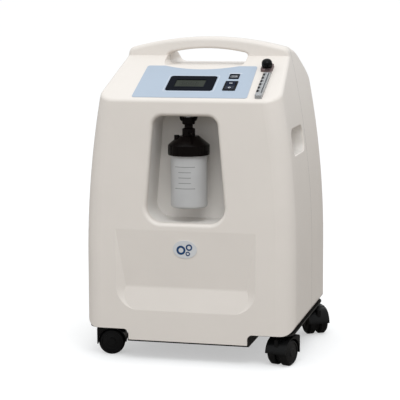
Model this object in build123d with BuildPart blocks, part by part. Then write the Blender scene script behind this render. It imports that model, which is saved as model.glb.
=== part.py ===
from build123d import *
import os
from math import atan2, cos, radians, sin

# Home oxygen concentrator on casters. Millimetres, +Z up, +X to the right seen from the front,
# the front faces -Y, and the origin is on the floor under the middle of the casing.

# ---- casing skin ------------------------------------------------------------------------
TOP_Z = 600.0            # floor to the top of the carrying handle
HALF_W = 201.0           # half width of the lower casing
BEND_Z = 190.0           # above this height the sides lean inwards
SHOULDER_X, SHOULDER_Z = 156.5, 578.5
SIDE_Z = 60.0            # lower edge of the side walls
SKIRT_Z = 40.0           # lower edge of the front and rear skirts
SKIRT_X = 114.0          # half width of those skirts
FOOT_Y = -178.0          # front face at the skirt
BROW_Y, BROW_Z = -170.0, 491.0   # edge between the front face and the control slope
RIDGE_Y, RIDGE_Z = -9.0, 564.0   # where the control slope meets the handle
HANDLE_DEPTH = 43.0
REAR_Y = 174.0
REAR_SLOPE = ((40.0, 575.0), (106.0, 547.0), (REAR_Y, 482.0))
CORNER_R = 34.0          # upright corners in plan
EDGE_R = 8.0             # rim of the control slope and of the rear slope
WALL = 3.0
SEAM_Y = 12.0            # the two shells meet in this plane

# ---- hollows of the skin -----------------------------------------------------------------
NICHE_X = -4.0
NICHE_TOP_Z, NICHE_FLOOR_Z, NICHE_BACK_Y = 461.0, 263.0, -95.0
NICHE_TOP_HALF, NICHE_FLOOR_HALF = 60.0, 77.5
COLLAR_Y = -160.0        # the casing's own niche rim ends here and the liner starts
HOLE_HALF, HOLE_LOW_Z, HOLE_TOP_Z = 79.5, 547.5, 578.0
SCOOP_DEPTH, SCOOP_W = 7.0, 268.0
SCOOP_TOP_Z, SCOOP_CREASE_Z, SCOOP_FOOT_Z = 250.0, 141.0, 97.0
GRIP_Y, GRIP_Z, GRIP_LENGTH, GRIP_HEIGHT, GRIP_DEPTH = -61.5, 410.0, 109.0, 48.0, 30.0

# ---- control slope: width, height, x, s and corner radius of each seat; s runs up the slope --
LCD_SEAT = (90.0, 56.0, -5.0, 63.0, 6.0)
METER_SEAT = (19.0, 19.0, 71.0, 91.0, 2.0)
SWITCH_SEAT = (24.0, 36.0, 71.0, 54.5, 2.5)
FLOW_X, FLOW_W, FLOW_LOW, FLOW_HIGH = 132.0, 13.0, 9.0, 111.5
FLOW_SEAT = (FLOW_W, FLOW_HIGH - FLOW_LOW, FLOW_X, (FLOW_LOW + FLOW_HIGH) / 2, 2.0)
KNOB_X, KNOB_S, KNOB_R, KNOB_H = 127.5, 124.0, 10.0, 10.5
HEAD_SEAT = (22.0, 24.0, KNOB_X, KNOB_S, 3.0)
HEAD_N = 6.0             # the valve head stands this far out of the slope
LCD_X, LCD_W, LCD_H = -7.5, 60.0, 31.0
ROCKER_W, ROCKER_R, ROCKER_N, ROCKER_THROW = 17.0, 14.0, -3.0, 12.0
FLOAT_R, FLOAT_N = 2.6, 1.5
OVERLAY_HALF, OVERLAY_LOW, OVERLAY_HIGH, OVERLAY_DIP = 107.0, 9.0, 133.0, 14.0

# ---- rear face ---------------------------------------------------------------------------
DOOR_X, DOOR_Z, DOOR_W, DOOR_H = -80.0, 370.0, 112.0, 130.0
FRAME_DEPTH = 26.0
DOOR_GAP = 0.3
PEG_R = 1.6
DOOR_BARREL_R = 3.2
DOOR_PIN_X = DOOR_X - DOOR_W / 2 + DOOR_BARREL_R + 0.3
DOOR_PIN_Y = REAR_Y - DOOR_BARREL_R
EXHAUST_X, EXHAUST_Z = 78.0, 118.0
INLET_X, INLET_Z, INLET_W, INLET_H = 84.0, 208.0, 84.0, 34.0
INLET_DEPTH, SOCKET_OFFSET, BREAKER_OFFSET, BREAKER_R = 33.0, 18.0, 24.0, 4.0
PLATE_X, PLATE_Z = 84.0, 330.0
SCREW_R = 2.0
SCREWS = [(x, z) for x in (-160.0, 160.0) for z in (90.0, 265.0)]
SCREWS += [(-145.0, 452.0), (145.0, 452.0), (0.0, 466.0), (0.0, 60.0)]

# ---- running gear ------------------------------------------------------------------------
WHEEL_R, WHEEL_W, WHEEL_GAP = 25.0, 17.0, 4.5
AXLE_R, STEM_R = 3.0, 5.0
RUN_GAP = 0.05           # radial clearance of every running fit
CASTER_X, CASTER_Y, TRAIL = 180.0, 128.0, 18.0
CASTERS = {
    "front_left": (-CASTER_X, -CASTER_Y, 13.0),
    "front_right": (CASTER_X, -CASTER_Y, 252.0),
    "rear_right": (CASTER_X, CASTER_Y, 301.0),
    "rear_left": (-CASTER_X, CASTER_Y, 239.0),
}
PAN_Z, PAN_T = 36.5, 3.0
FLANGE_Z = 58.5
SOCKET_R = 8.0
HOOD_R, HOOD_TOP_Z = 28.0, 54.5

# ---- humidifier --------------------------------------------------------------------------
BOTTLE_X, BOTTLE_Y = NICHE_X, -139.0
LID_R, LID_LOW_Z, LID_HIGH_Z = 38.5, 388.0, 408.0
JAR_R, JAR_WALL, JAR_LOW_Z, JAR_RIM_Z = 34.0, 2.0, 290.0, 404.4
NECK_Z = 444.0
NUT_TOP_Z = 458.0
FITTING_R = 7.0
NIPPLE_Z, NIPPLE_R, NIPPLE_TURN = 429.0, 3.0, 60.0

# ---- compressor, fan and gas side ---------------------------------------------------------
PUMP_Y, PUMP_Z = 40.0, 125.0
STATOR_R, ROTOR_R, SHAFT_R = 52.0, 32.0, 8.0
CRANK_X, CRANK_W = 50.0, 60.0
DECK_Z, DECK_T = 238.0, 2.5
FAN_Y, FAN_R = 60.0, 57.0
BED_X, BED_Y, BED_R, BED_TOP_Z, BED_PORT_Y = 146.0, -85.0, 38.0, 366.0, -72.0
TANK_X, TANK_Y, TANK_R, TANK_TOP_Z = 118.0, 118.0, 36.0, 415.0
VALVE_Y = -60.0
BOARD_N = -24.0
HOSE_R, HOSE_START_Z = 4.0, 230.0

os.makedirs("parts", exist_ok=True)

slope_angle = atan2(RIDGE_Z - BROW_Z, RIDGE_Y - BROW_Y)
lean_angle = atan2(BROW_Y - FOOT_Y, BROW_Z - SKIRT_Z)
FRONT = Plane(
    origin=(0, FOOT_Y - SKIRT_Z * (BROW_Y - FOOT_Y) / (BROW_Z - SKIRT_Z), 0),
    x_dir=(1, 0, 0),
    z_dir=(0, -cos(lean_angle), sin(lean_angle)),
)
SLOPE = Plane(origin=(0, BROW_Y, BROW_Z), x_dir=(1, 0, 0), z_dir=(0, -sin(slope_angle), cos(slope_angle)))
SCOOP_SIDE = Plane(origin=FRONT.origin, x_dir=FRONT.y_dir, z_dir=(1, 0, 0))
BACK = Plane(origin=(0, REAR_Y, 0), x_dir=(-1, 0, 0), z_dir=(0, 1, 0))
FLOW_BASE = Plane(
    origin=SLOPE.from_local_coords(Vector(FLOW_X, FLOW_LOW + 6, 0)),
    x_dir=(-1, 0, 0),
    z_dir=SLOPE.y_dir,
)


def save(shape, name):
    """Label one finished piece and write it to its own file."""
    shape.label = name
    export_step(shape, f"parts/{name}.step")


def y_plane(y):
    """Front-view drawing plane at depth y; drawings extrude towards the viewer."""
    return Plane.XZ.offset(-y)


# ---- casing ------------------------------------------------------------------------------
def front_outline(inset, low, arched):
    """Front view of the casing, drawn inset inside the skin, with a flat or an arched top."""
    half_w = HALF_W - inset
    shoulder = SHOULDER_X - inset
    with BuildSketch() as view:
        with BuildLine():
            Line((-half_w, BEND_Z), (-half_w, low))
            Line((-half_w, low), (half_w, low))
            Line((half_w, low), (half_w, BEND_Z))
            TangentArc((half_w, BEND_Z), (shoulder, SHOULDER_Z), tangent=(0, 1))
            if arched:
                ThreePointArc((shoulder, SHOULDER_Z), (0, TOP_Z - inset), (-shoulder, SHOULDER_Z))
            else:
                Line((shoulder, SHOULDER_Z), (-shoulder, SHOULDER_Z))
            TangentArc((-half_w, BEND_Z), (-shoulder, SHOULDER_Z), tangent=(0, 1))
        make_face()
        if arched:
            fillet(view.vertices().filter_by(lambda v: v.Y > BROW_Z and abs(v.X) > shoulder - 1), 14)
    return view.sketch


def side_outline(inset, low):
    """Side view of the casing below the handle, in Y and Z."""
    down = Vector(sin(slope_angle), -cos(slope_angle)) * inset
    ridge = Vector(RIDGE_Y, RIDGE_Z) + down
    brow = (BROW_Y + inset, BROW_Z - 0.65 * inset)
    rear = [Vector(y - 0.5 * inset, z - 0.85 * inset) for y, z in REAR_SLOPE[:2]]
    rear.append(Vector(REAR_SLOPE[2][0] - inset, REAR_SLOPE[2][1] - 0.5 * inset))
    with BuildSketch() as view:
        with BuildLine():
            Polyline(ridge, brow, (FOOT_Y + inset, low), (REAR_Y - inset, low), rear[2])
            Spline(ridge, *rear, tangents=[(cos(slope_angle), sin(slope_angle)), (0.55, -0.83)])
        make_face()
    return view.sketch


def casing_block(inset, low, edge_radius=0.0):
    """Solid casing body without its handle: front view and side view crossed."""
    with BuildPart() as block:
        with BuildSketch(Plane.XZ):
            add(front_outline(inset, low, arched=False))
        extrude(amount=HALF_W + 20, both=True)
        with BuildSketch(Plane.YZ):
            add(side_outline(inset, low))
        extrude(amount=HALF_W + 20, both=True, mode=Mode.INTERSECT)
        upright = block.edges().filter_by(
            lambda e: abs(e.center().Y) > 150 and abs(e.tangent_at(0.5).Z) > 0.8
        )
        fillet(upright, CORNER_R - inset)
        if edge_radius:
            rim = block.edges().filter_by(
                lambda e: e.center().Z > 478 and abs(e.center().Y - RIDGE_Y) > 1
            )
            fillet(rim, edge_radius)
    return block.part


def handle_block(inset, edge_radius):
    """The arched wall that carries the handle, rounded along its front and rear edges."""
    middle_y = RIDGE_Y + HANDLE_DEPTH / 2
    with BuildPart() as block:
        with BuildSketch(Plane.XZ):
            add(front_outline(inset, 100.0, arched=True))
        extrude(amount=HALF_W, both=True)
        with BuildSketch(Plane.YZ):
            with Locations((middle_y, 560.0)):
                Rectangle(HANDLE_DEPTH - 2 * inset, 116.0)
        extrude(amount=HALF_W + 20, both=True, mode=Mode.INTERSECT)
        rim = block.edges().filter_by(
            lambda e: abs(abs(e.center().Y - middle_y) - HANDLE_DEPTH / 2 + inset) < 0.2
            and e.center().Z > 503
        )
        fillet(rim, edge_radius)
    return block.part


def niche_block(grow, front_y, back_y):
    """The humidifier niche as a solid, drafted open towards the front."""
    with BuildPart() as block:
        with BuildSketch(y_plane(back_y)) as view:
            with BuildLine():
                Polyline(
                    (NICHE_X - NICHE_TOP_HALF - grow, NICHE_TOP_Z + grow),
                    (NICHE_X + NICHE_TOP_HALF + grow, NICHE_TOP_Z + grow),
                    (NICHE_X + NICHE_FLOOR_HALF + grow, NICHE_FLOOR_Z - grow),
                    (NICHE_X - NICHE_FLOOR_HALF - grow, NICHE_FLOOR_Z - grow),
                    close=True,
                )
            make_face()
            fillet(view.vertices().filter_by(lambda v: v.Y > NICHE_TOP_Z - 1), 20 + grow)
            fillet(view.vertices().filter_by(lambda v: v.Y < NICHE_FLOOR_Z + 1), 30 + grow)
        extrude(amount=back_y - front_y)
    return block.part


def handle_hole(grow):
    """The hand opening below the arch, cut straight through from front to back."""
    half = HOLE_HALF + grow
    end_z = HOLE_TOP_Z - 9.5
    with BuildPart() as block:
        with BuildSketch(Plane.XZ) as view:
            with BuildLine():
                Line((-half, end_z + grow), (-half, HOLE_LOW_Z - grow))
                Line((-half, HOLE_LOW_Z - grow), (half, HOLE_LOW_Z - grow))
                Line((half, HOLE_LOW_Z - grow), (half, end_z + grow))
                ThreePointArc((half, end_z + grow), (0, HOLE_TOP_Z + grow), (-half, end_z + grow))
            make_face()
            fillet(view.vertices(), 9 + grow)
        extrude(amount=HALF_W, both=True)
    return block.part


def hand_trough(grow):
    """Room for the fingers behind the handle: a trough in the rear slope, open to the top."""
    back_y = RIDGE_Y + HANDLE_DEPTH
    with BuildPart() as block:
        with BuildSketch(y_plane(REAR_Y)) as view:
            with Locations((0, HOLE_LOW_Z + 50)):
                Rectangle(2 * (HOLE_HALF + grow), 100 + 2 * grow)
            fillet(view.vertices().group_by(Axis.Y)[0], 9 + grow)
        extrude(amount=REAR_Y - back_y + grow)
    return block.part


def grip_block(grow, depth, side):
    """A finger pocket in a side wall as a solid; side is -1 for the left and 1 for the right."""
    inner_x = SHOULDER_X + 35.0 - depth
    with BuildPart() as block:
        with BuildSketch(Plane.YZ.offset(side * inner_x)):
            with Locations((GRIP_Y, GRIP_Z)):
                RectangleRounded(GRIP_LENGTH + 2 * grow, GRIP_HEIGHT + 2 * grow, 16 + grow)
        extrude(amount=side * (HALF_W + 10 - inner_x))
    return block.part


def skirt_block():
    """What the casing keeps in front view: full skirts in the middle, raised at the corners."""
    with BuildPart() as block:
        with BuildSketch(Plane.XZ) as view:
            with Locations((0, (SIDE_Z + TOP_Z) / 2 + 5)):
                Rectangle(2 * HALF_W + 2, TOP_Z - SIDE_Z + 10)
            fillet(view.vertices().group_by(Axis.Y)[0], 24)
            with Locations((0, SKIRT_Z + 50)):
                Rectangle(2 * SKIRT_X, 100)
            inner_corners = view.vertices().filter_by(
                lambda v: abs(abs(v.X) - SKIRT_X) < 0.1 and abs(v.Y - SIDE_Z) < 0.1
            )
            fillet(inner_corners, 10)
        extrude(amount=HALF_W, both=True)
    return block.part


def scoop_block(grow):
    """The shallow relief above the front skirt: a long shallow ramp, then a short lip back out."""
    top = SCOOP_TOP_Z + grow
    with BuildPart() as block:
        with BuildSketch(SCOOP_SIDE):
            with BuildLine():
                ramp_top = (top, 0.05 - grow)
                crease = (SCOOP_CREASE_Z, -SCOOP_DEPTH - grow)
                foot = (SCOOP_FOOT_Z - grow, -grow)
                Line((top + 60, 4), (top + 60, 0.05 - grow))
                FilletPolyline((top + 60, 0.05 - grow), ramp_top, crease, foot, radius=24)
                Polyline(foot, (foot[0] - 6, 1.0), (foot[0] - 6, 4), (top + 60, 4))
            make_face()
        extrude(amount=HALF_W, both=True)
        with BuildPart(mode=Mode.INTERSECT):
            low, high = SCOOP_FOOT_Z - grow, top + 50
            with BuildSketch(FRONT.offset(0.01)) as rim:
                with Locations((NICHE_X, (low + high) / 2)):
                    Rectangle(SCOOP_W + 2 * grow, high - low)
                fillet(rim.vertices().group_by(Axis.Y)[0], 44 + grow)
            low += 24
            with BuildSketch(FRONT.offset(-SCOOP_DEPTH - grow - 4)) as floor:
                with Locations((NICHE_X, (low + high) / 2)):
                    Rectangle(SCOOP_W - 56 + 2 * grow, high - low)
                fillet(floor.vertices().group_by(Axis.Y)[0], 18 + grow)
            loft(ruled=True)
    return block.part


def panel_cutter(width, height, radius, x, s, low, high):
    """A rounded block through the control slope; s runs up the slope from its front edge."""
    with BuildPart() as block:
        with BuildSketch(SLOPE.offset(low)):
            with Locations((x, s)):
                RectangleRounded(width, height, radius)
        extrude(amount=high - low)
    return block.part


# The outer skin first, as one solid, then the hollow that leaves a wall of even thickness.
with BuildPart() as skin:
    add(casing_block(0, SKIRT_Z, EDGE_R))
    add(handle_block(0, 8))
    add(skirt_block(), mode=Mode.INTERSECT)
    add(scoop_block(0), mode=Mode.SUBTRACT)
    add(niche_block(0, FOOT_Y - 10, NICHE_BACK_Y), mode=Mode.SUBTRACT)
    niche_rim = skin.edges().filter_by(
        lambda e: abs(e.center().X - NICHE_X) < NICHE_FLOOR_HALF + 1
        and NICHE_FLOOR_Z - 1 < e.center().Z < NICHE_TOP_Z + 1
        and e.bounding_box().max.Y < COLLAR_Y - 5
    )
    fillet(niche_rim, 7)
    add(handle_hole(0), mode=Mode.SUBTRACT)
    add(hand_trough(0), mode=Mode.SUBTRACT)
    for face_y in (RIDGE_Y, RIDGE_Y + HANDLE_DEPTH):
        grip_edges = skin.edges().filter_by(
            lambda e: abs(e.center().X) < HOLE_HALF + 1
            and HOLE_TOP_Z - 12 < e.center().Z < HOLE_TOP_Z + 1
            and abs(e.center().Y - face_y) < 0.3
        )
        fillet(grip_edges, 5)
    for side in (-1, 1):
        add(grip_block(0, GRIP_DEPTH, side), mode=Mode.SUBTRACT)
    pocket_rim = skin.edges().filter_by(
        lambda e: abs(e.center().X) > SHOULDER_X + 22
        and abs(e.center().Y - GRIP_Y) < GRIP_LENGTH / 2 + 1
        and abs(e.center().Z - GRIP_Z) < GRIP_HEIGHT / 2 + 1
    )
    fillet(pocket_rim, 2.5)

with BuildPart() as hollow:
    add(casing_block(WALL, 0))
    add(handle_block(WALL, 5))
    add(niche_block(WALL, FOOT_Y - 10, COLLAR_Y), mode=Mode.SUBTRACT)
    add(scoop_block(WALL), mode=Mode.SUBTRACT)
    add(handle_hole(WALL), mode=Mode.SUBTRACT)
    add(hand_trough(WALL), mode=Mode.SUBTRACT)

with BuildPart() as front_casing:
    add(skin.part)
    add(hollow.part, mode=Mode.SUBTRACT)
    split(bisect_by=y_plane(SEAM_Y), keep=Keep.TOP)
    # seats of the controls in the slope
    for width, height, x, s, radius in (LCD_SEAT, METER_SEAT, SWITCH_SEAT, FLOW_SEAT, HEAD_SEAT):
        add(panel_cutter(width + 0.4, height + 0.4, radius, x, s, -8, 8), mode=Mode.SUBTRACT)
save(front_casing.part, "front_casing")

with BuildPart() as rear_casing:
    add(skin.part)
    add(hollow.part, mode=Mode.SUBTRACT)
    split(bisect_by=y_plane(SEAM_Y), keep=Keep.BOTTOM)
    # filter frame behind the door opening, with the two lugs that hold the door's pegs
    with BuildSketch(BACK.offset(-WALL)):
        with Locations((-DOOR_X, DOOR_Z)):
            Rectangle(DOOR_W + 2 * WALL, DOOR_H + 24)
    extrude(amount=-FRAME_DEPTH)
    with BuildSketch(BACK.offset(1)):
        with Locations((-DOOR_X, DOOR_Z)):
            Rectangle(DOOR_W, DOOR_H)
    extrude(amount=-(FRAME_DEPTH + WALL - 2), mode=Mode.SUBTRACT)
    with BuildSketch(BACK.offset(1)):
        with Locations((-DOOR_X, DOOR_Z)):
            Rectangle(DOOR_W - 24, DOOR_H - 16)
    extrude(amount=-(FRAME_DEPTH + WALL + 20), mode=Mode.SUBTRACT)
    with Locations(Location((DOOR_PIN_X, DOOR_PIN_Y, DOOR_Z))):
        Cylinder(PEG_R + RUN_GAP, DOOR_H + 8, mode=Mode.SUBTRACT)
    # bosses behind the screws, exhaust louvres, opening of the power inlet, screw holes
    with BuildSketch(BACK.offset(-WALL)):
        with Locations(*[(-x, z) for x, z in SCREWS]):
            Circle(SCREW_R + 2.5)
    extrude(amount=-9)
    with BuildSketch(BACK.offset(1)):
        with Locations((-EXHAUST_X, EXHAUST_Z)):
            with GridLocations(62, 11, 2, 8):
                SlotOverall(56, 5)
    extrude(amount=-(WALL + 5), mode=Mode.SUBTRACT)
    with BuildSketch(BACK.offset(1)):
        with Locations((-INLET_X, INLET_Z)):
            Rectangle(INLET_W - 8 + 0.4, INLET_H - 6 + 0.4)
    extrude(amount=-(WALL + 5), mode=Mode.SUBTRACT)
    with BuildSketch(BACK.offset(1)):
        with Locations(*[(-x, z) for x, z in SCREWS]):
            Circle(SCREW_R + 0.1)
    extrude(amount=-(WALL + 11), mode=Mode.SUBTRACT)
save(rear_casing.part, "rear_casing")

# ---- pieces set into the casing ----------------------------------------------------------
with BuildPart() as niche_liner:
    add(niche_block(WALL, COLLAR_Y, NICHE_BACK_Y + WALL))
    add(niche_block(0, COLLAR_Y - 5, NICHE_BACK_Y), mode=Mode.SUBTRACT)
    with BuildSketch(Plane.XY.offset(NICHE_TOP_Z - 5)):
        with Locations((BOTTLE_X, BOTTLE_Y)):
            Circle(FITTING_R + 0.3)
    extrude(amount=15, mode=Mode.SUBTRACT)
save(niche_liner.part, "niche_liner")

for side, word in ((-1, "left"), (1, "right")):
    with BuildPart() as grip_pocket:
        add(grip_block(2.5, GRIP_DEPTH + 2.5, side))
        add(casing_block(WALL + 0.05, 0), mode=Mode.INTERSECT)
        add(grip_block(0, GRIP_DEPTH, side), mode=Mode.SUBTRACT)
    save(grip_pocket.part, f"grip_pocket_{word}")

with BuildPart() as control_overlay:
    with BuildSketch(SLOPE) as overlay_view:
        with BuildLine():
            Line((-OVERLAY_HALF, OVERLAY_LOW), (OVERLAY_HALF + 4, OVERLAY_LOW))
            Line((OVERLAY_HALF + 4, OVERLAY_LOW), (OVERLAY_HALF, OVERLAY_HIGH))
            Line((OVERLAY_HALF, OVERLAY_HIGH), (72, OVERLAY_HIGH))
            ThreePointArc((72, OVERLAY_HIGH), (0, OVERLAY_HIGH - OVERLAY_DIP), (-72, OVERLAY_HIGH))
            Line((-72, OVERLAY_HIGH), (-OVERLAY_HALF, OVERLAY_HIGH))
            Line((-OVERLAY_HALF, OVERLAY_HIGH), (-OVERLAY_HALF, OVERLAY_LOW))
        make_face()
        fillet(overlay_view.vertices().filter_by(lambda v: abs(v.X) > 100), 5)
        for width, height, x, s, radius in (LCD_SEAT, METER_SEAT, SWITCH_SEAT):
            with Locations((x, s)):
                RectangleRounded(width + 0.4, height + 0.4, radius, mode=Mode.SUBTRACT)
    extrude(amount=0.8)
save(control_overlay.part, "control_overlay")

# ---- controls on the slope ---------------------------------------------------------------
with BuildPart() as lcd_bezel:
    with BuildSketch(SLOPE.offset(-WALL)):
        with Locations(LCD_SEAT[2:4]):
            RectangleRounded(LCD_SEAT[0], LCD_SEAT[1], LCD_SEAT[4])
    extrude(amount=WALL + 1.6)
    with BuildSketch(SLOPE.offset(-WALL)):
        with Locations((LCD_X, LCD_SEAT[3])):
            RectangleRounded(LCD_W, LCD_H, 1.5)
    extrude(amount=WALL + 5, mode=Mode.SUBTRACT)
save(lcd_bezel.part, "lcd_bezel")

with BuildPart() as lcd_module:
    with BuildSketch(SLOPE.offset(-WALL)):
        with Locations((LCD_X, LCD_SEAT[3])):
            RectangleRounded(LCD_W, LCD_H, 1.5)
    extrude(amount=WALL + 0.6)
    with BuildSketch(SLOPE.offset(-WALL - 6)):
        with Locations((LCD_X, LCD_SEAT[3])):
            Rectangle(LCD_W + 16, LCD_H + 14)
    extrude(amount=6)
save(lcd_module.part, "lcd_module")

with BuildPart() as hour_meter:
    with BuildSketch(SLOPE.offset(-14)):
        with Locations(METER_SEAT[2:4]):
            RectangleRounded(METER_SEAT[0] - 3, METER_SEAT[1] - 3, 1.5)
    extrude(amount=14)
    with BuildSketch(SLOPE):
        with Locations(METER_SEAT[2:4]):
            RectangleRounded(METER_SEAT[0], METER_SEAT[1], 1.5)
    extrude(amount=1.6)
    with BuildSketch(SLOPE.offset(1.0)):
        with Locations(METER_SEAT[2:4]):
            RectangleRounded(METER_SEAT[0] - 5, METER_SEAT[1] - 9, 1.0)
    extrude(amount=2, mode=Mode.SUBTRACT)
save(hour_meter.part, "hour_meter")

ROCKER_AXIS = SLOPE.from_local_coords(Vector(SWITCH_SEAT[2], SWITCH_SEAT[3], ROCKER_N))
with BuildPart() as switch_frame:
    with BuildSketch(SLOPE.offset(-20)):
        with Locations(SWITCH_SEAT[2:4]):
            Rectangle(SWITCH_SEAT[0] - 2, SWITCH_SEAT[1] - 4)
    extrude(amount=20)
    with BuildSketch(SLOPE):
        with Locations(SWITCH_SEAT[2:4]):
            RectangleRounded(SWITCH_SEAT[0], SWITCH_SEAT[1], 1.5)
    extrude(amount=1.8)
    with BuildSketch(SLOPE.offset(-17)):
        with Locations(SWITCH_SEAT[2:4]):
            Rectangle(ROCKER_W + 1, 2 * ROCKER_R + 1)
    extrude(amount=25, mode=Mode.SUBTRACT)
    with BuildSketch(Plane.YZ.offset(SWITCH_SEAT[2])):
        with Locations((ROCKER_AXIS.Y, ROCKER_AXIS.Z)):
            Circle(1.5 + RUN_GAP)
    extrude(amount=ROCKER_W / 2 + 2, both=True, mode=Mode.SUBTRACT)
save(switch_frame.part, "switch_frame")

# The rocker rests with its lower half pressed in: its V top is turned by half of its throw.
rest_angle = slope_angle + radians(ROCKER_THROW / 2)
ROCKER = Plane(origin=ROCKER_AXIS, x_dir=(0, cos(rest_angle), sin(rest_angle)), z_dir=(1, 0, 0))
with BuildPart() as switch_rocker:
    with BuildSketch(ROCKER):
        Circle(ROCKER_R)
        with BuildLine():
            Polyline(
                (-ROCKER_R - 1, 6.6), (0, 4.6), (ROCKER_R + 1, 6.6), (ROCKER_R + 1, -6.5), (-ROCKER_R - 1, -6.5),
                close=True,
            )
        make_face(mode=Mode.INTERSECT)
    extrude(amount=ROCKER_W / 2, both=True)
    with BuildSketch(ROCKER):
        Circle(1.5)
    extrude(amount=ROCKER_W / 2 + 1.8, both=True)
save(switch_rocker.part, "switch_rocker")

with BuildPart() as flowmeter_body:
    with BuildSketch(SLOPE.offset(-6)):
        with Locations(FLOW_SEAT[2:4]):
            RectangleRounded(FLOW_W, FLOW_SEAT[1], 3.0)
    extrude(amount=13)
    flow_top = flowmeter_body.faces().sort_by(Axis(SLOPE.origin, SLOPE.z_dir))[-1]
    fillet(flow_top.edges(), 2.0)
    with BuildSketch(FLOW_BASE):
        with Locations((0, FLOAT_N)):
            Circle(FLOAT_R + 0.4)
    extrude(amount=FLOW_SEAT[1] - 10, mode=Mode.SUBTRACT)
save(flowmeter_body.part, "flowmeter_body")

with BuildPart() as flowmeter_float:
    with BuildSketch(FLOW_BASE.offset(0.5)):
        with Locations((0, FLOAT_N)):
            Circle(FLOAT_R)
    extrude(amount=8)
    fillet(flowmeter_float.edges(), 2.2)
save(flowmeter_float.part, "flowmeter_float")

KNOB = Plane(origin=SLOPE.from_local_coords(Vector(KNOB_X, KNOB_S, 0)), x_dir=(1, 0, 0), z_dir=SLOPE.z_dir)
with BuildPart() as flow_valve:
    with BuildSketch(KNOB.offset(-22)):
        RectangleRounded(HEAD_SEAT[0], HEAD_SEAT[1], HEAD_SEAT[4])
    extrude(amount=22 + HEAD_N)
    head_top = flow_valve.faces().sort_by(Axis(KNOB.origin, KNOB.z_dir))[-1]
    fillet(head_top.edges(), 1.5)
    with BuildSketch(KNOB.offset(-18)):
        Circle(AXLE_R + RUN_GAP)
    extrude(amount=35, mode=Mode.SUBTRACT)
save(flow_valve.part, "flow_valve")

with BuildPart() as flow_valve_stem:
    with BuildSketch(KNOB.offset(-14)):
        Circle(AXLE_R)
    extrude(amount=14 + HEAD_N + 7)
    with BuildSketch(KNOB.offset(-14)):
        Circle(AXLE_R)
    extrude(amount=-3.5, taper=30)
save(flow_valve_stem.part, "flow_valve_stem")

with BuildPart() as flow_knob:
    with BuildSketch(KNOB.offset(HEAD_N + 1)):
        Circle(KNOB_R)
        with PolarLocations(KNOB_R + 1.2, 24):
            Circle(1.5, mode=Mode.SUBTRACT)
    extrude(amount=KNOB_H)
    with BuildSketch(KNOB.offset(HEAD_N + 1 + KNOB_H)):
        Circle(KNOB_R - 1.5)
    extrude(amount=2.5, taper=40)
    with BuildSketch(KNOB.offset(HEAD_N)):
        Circle(AXLE_R)
    extrude(amount=8, mode=Mode.SUBTRACT)
save(flow_knob.part, "flow_knob")

scoop_top = FRONT.from_local_coords(Vector(NICHE_X, SCOOP_TOP_Z, 0.05))
scoop_crease = FRONT.from_local_coords(Vector(NICHE_X, SCOOP_CREASE_Z, -SCOOP_DEPTH))
SCOOP = Plane(origin=scoop_top, x_dir=(1, 0, 0), z_dir=Vector(1, 0, 0).cross(scoop_top - scoop_crease))
with BuildPart() as front_badge:
    with BuildSketch(SCOOP.offset(0.02)):
        with Locations((0, -35)):
            Ellipse(23, 17)
    extrude(amount=0.9)
save(front_badge.part, "front_badge")

# ---- humidifier --------------------------------------------------------------------------
BOTTLE = Plane(origin=(BOTTLE_X, BOTTLE_Y, 0), x_dir=(1, 0, 0), z_dir=(0, 0, 1))
HALF_SECTION = Plane(origin=(BOTTLE_X, BOTTLE_Y, 0), x_dir=(1, 0, 0), z_dir=(0, -1, 0))
BOTTLE_AXIS = Axis((BOTTLE_X, BOTTLE_Y, 0), (0, 0, 1))
NIPPLE = Plane(
    origin=(BOTTLE_X, BOTTLE_Y, NIPPLE_Z),
    x_dir=(0, 0, 1),
    z_dir=(cos(radians(NIPPLE_TURN)), -sin(radians(NIPPLE_TURN)), 0),
)

with BuildPart() as outlet_fitting:
    with BuildSketch(BOTTLE.offset(NECK_Z + 6.8)):
        Circle(FITTING_R)
        Circle(2.5, mode=Mode.SUBTRACT)
    extrude(amount=NICHE_TOP_Z - NECK_Z + 4)
    with BuildSketch(BOTTLE.offset(NICHE_TOP_Z + WALL)):
        RegularPolygon(10, 6)
        Circle(2.5, mode=Mode.SUBTRACT)
    extrude(amount=8)
    with BuildSketch(BOTTLE.offset(NICHE_TOP_Z + WALL + 8)):
        Circle(4)
        Circle(2.5, mode=Mode.SUBTRACT)
    extrude(amount=6)
save(outlet_fitting.part, "outlet_fitting")

with BuildPart() as humidifier_lid:
    with BuildSketch(HALF_SECTION):
        with BuildLine():
            Polyline(
                (LID_R - 3, LID_LOW_Z), (LID_R, LID_LOW_Z), (LID_R, LID_HIGH_Z - 1.5), (LID_R - 1.5, LID_HIGH_Z),
                (19, LID_HIGH_Z + 15), (12, LID_HIGH_Z + 16), (12, 436), (7.75, 438), (7.75, NECK_Z),
                (5, NECK_Z), (5, NECK_Z + 3.9), (6.8, NECK_Z + 3.9), (6.8, NECK_Z + 6.4), (1.6, NECK_Z + 6.4),
                (1.6, LID_HIGH_Z + 10), (12, LID_HIGH_Z + 10), (LID_R - 3, JAR_RIM_Z + 1.7), close=True,
            )
        make_face()
    revolve(axis=BOTTLE_AXIS)
    with BuildSketch(HALF_SECTION.offset(-2.4)):
        with Locations((LID_R - 0.2, 398)):
            Rectangle(1.2, 16)
    lid_rib = extrude(amount=4.8, mode=Mode.PRIVATE)
    for turn in range(16):
        add(lid_rib.rotate(BOTTLE_AXIS, 22.5 * turn))
    # the outlet nipple points out of the niche, to the right of straight ahead, and has one barb
    with BuildSketch(NIPPLE.offset(8)):
        Circle(NIPPLE_R)
    extrude(amount=24)
    with BuildSketch(NIPPLE.offset(11)):
        Circle(4.6)
    extrude(amount=5)
    with BuildSketch(NIPPLE.offset(-1)):
        Circle(1.4)
    extrude(amount=40, mode=Mode.SUBTRACT)
save(humidifier_lid.part, "humidifier_lid")

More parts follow.
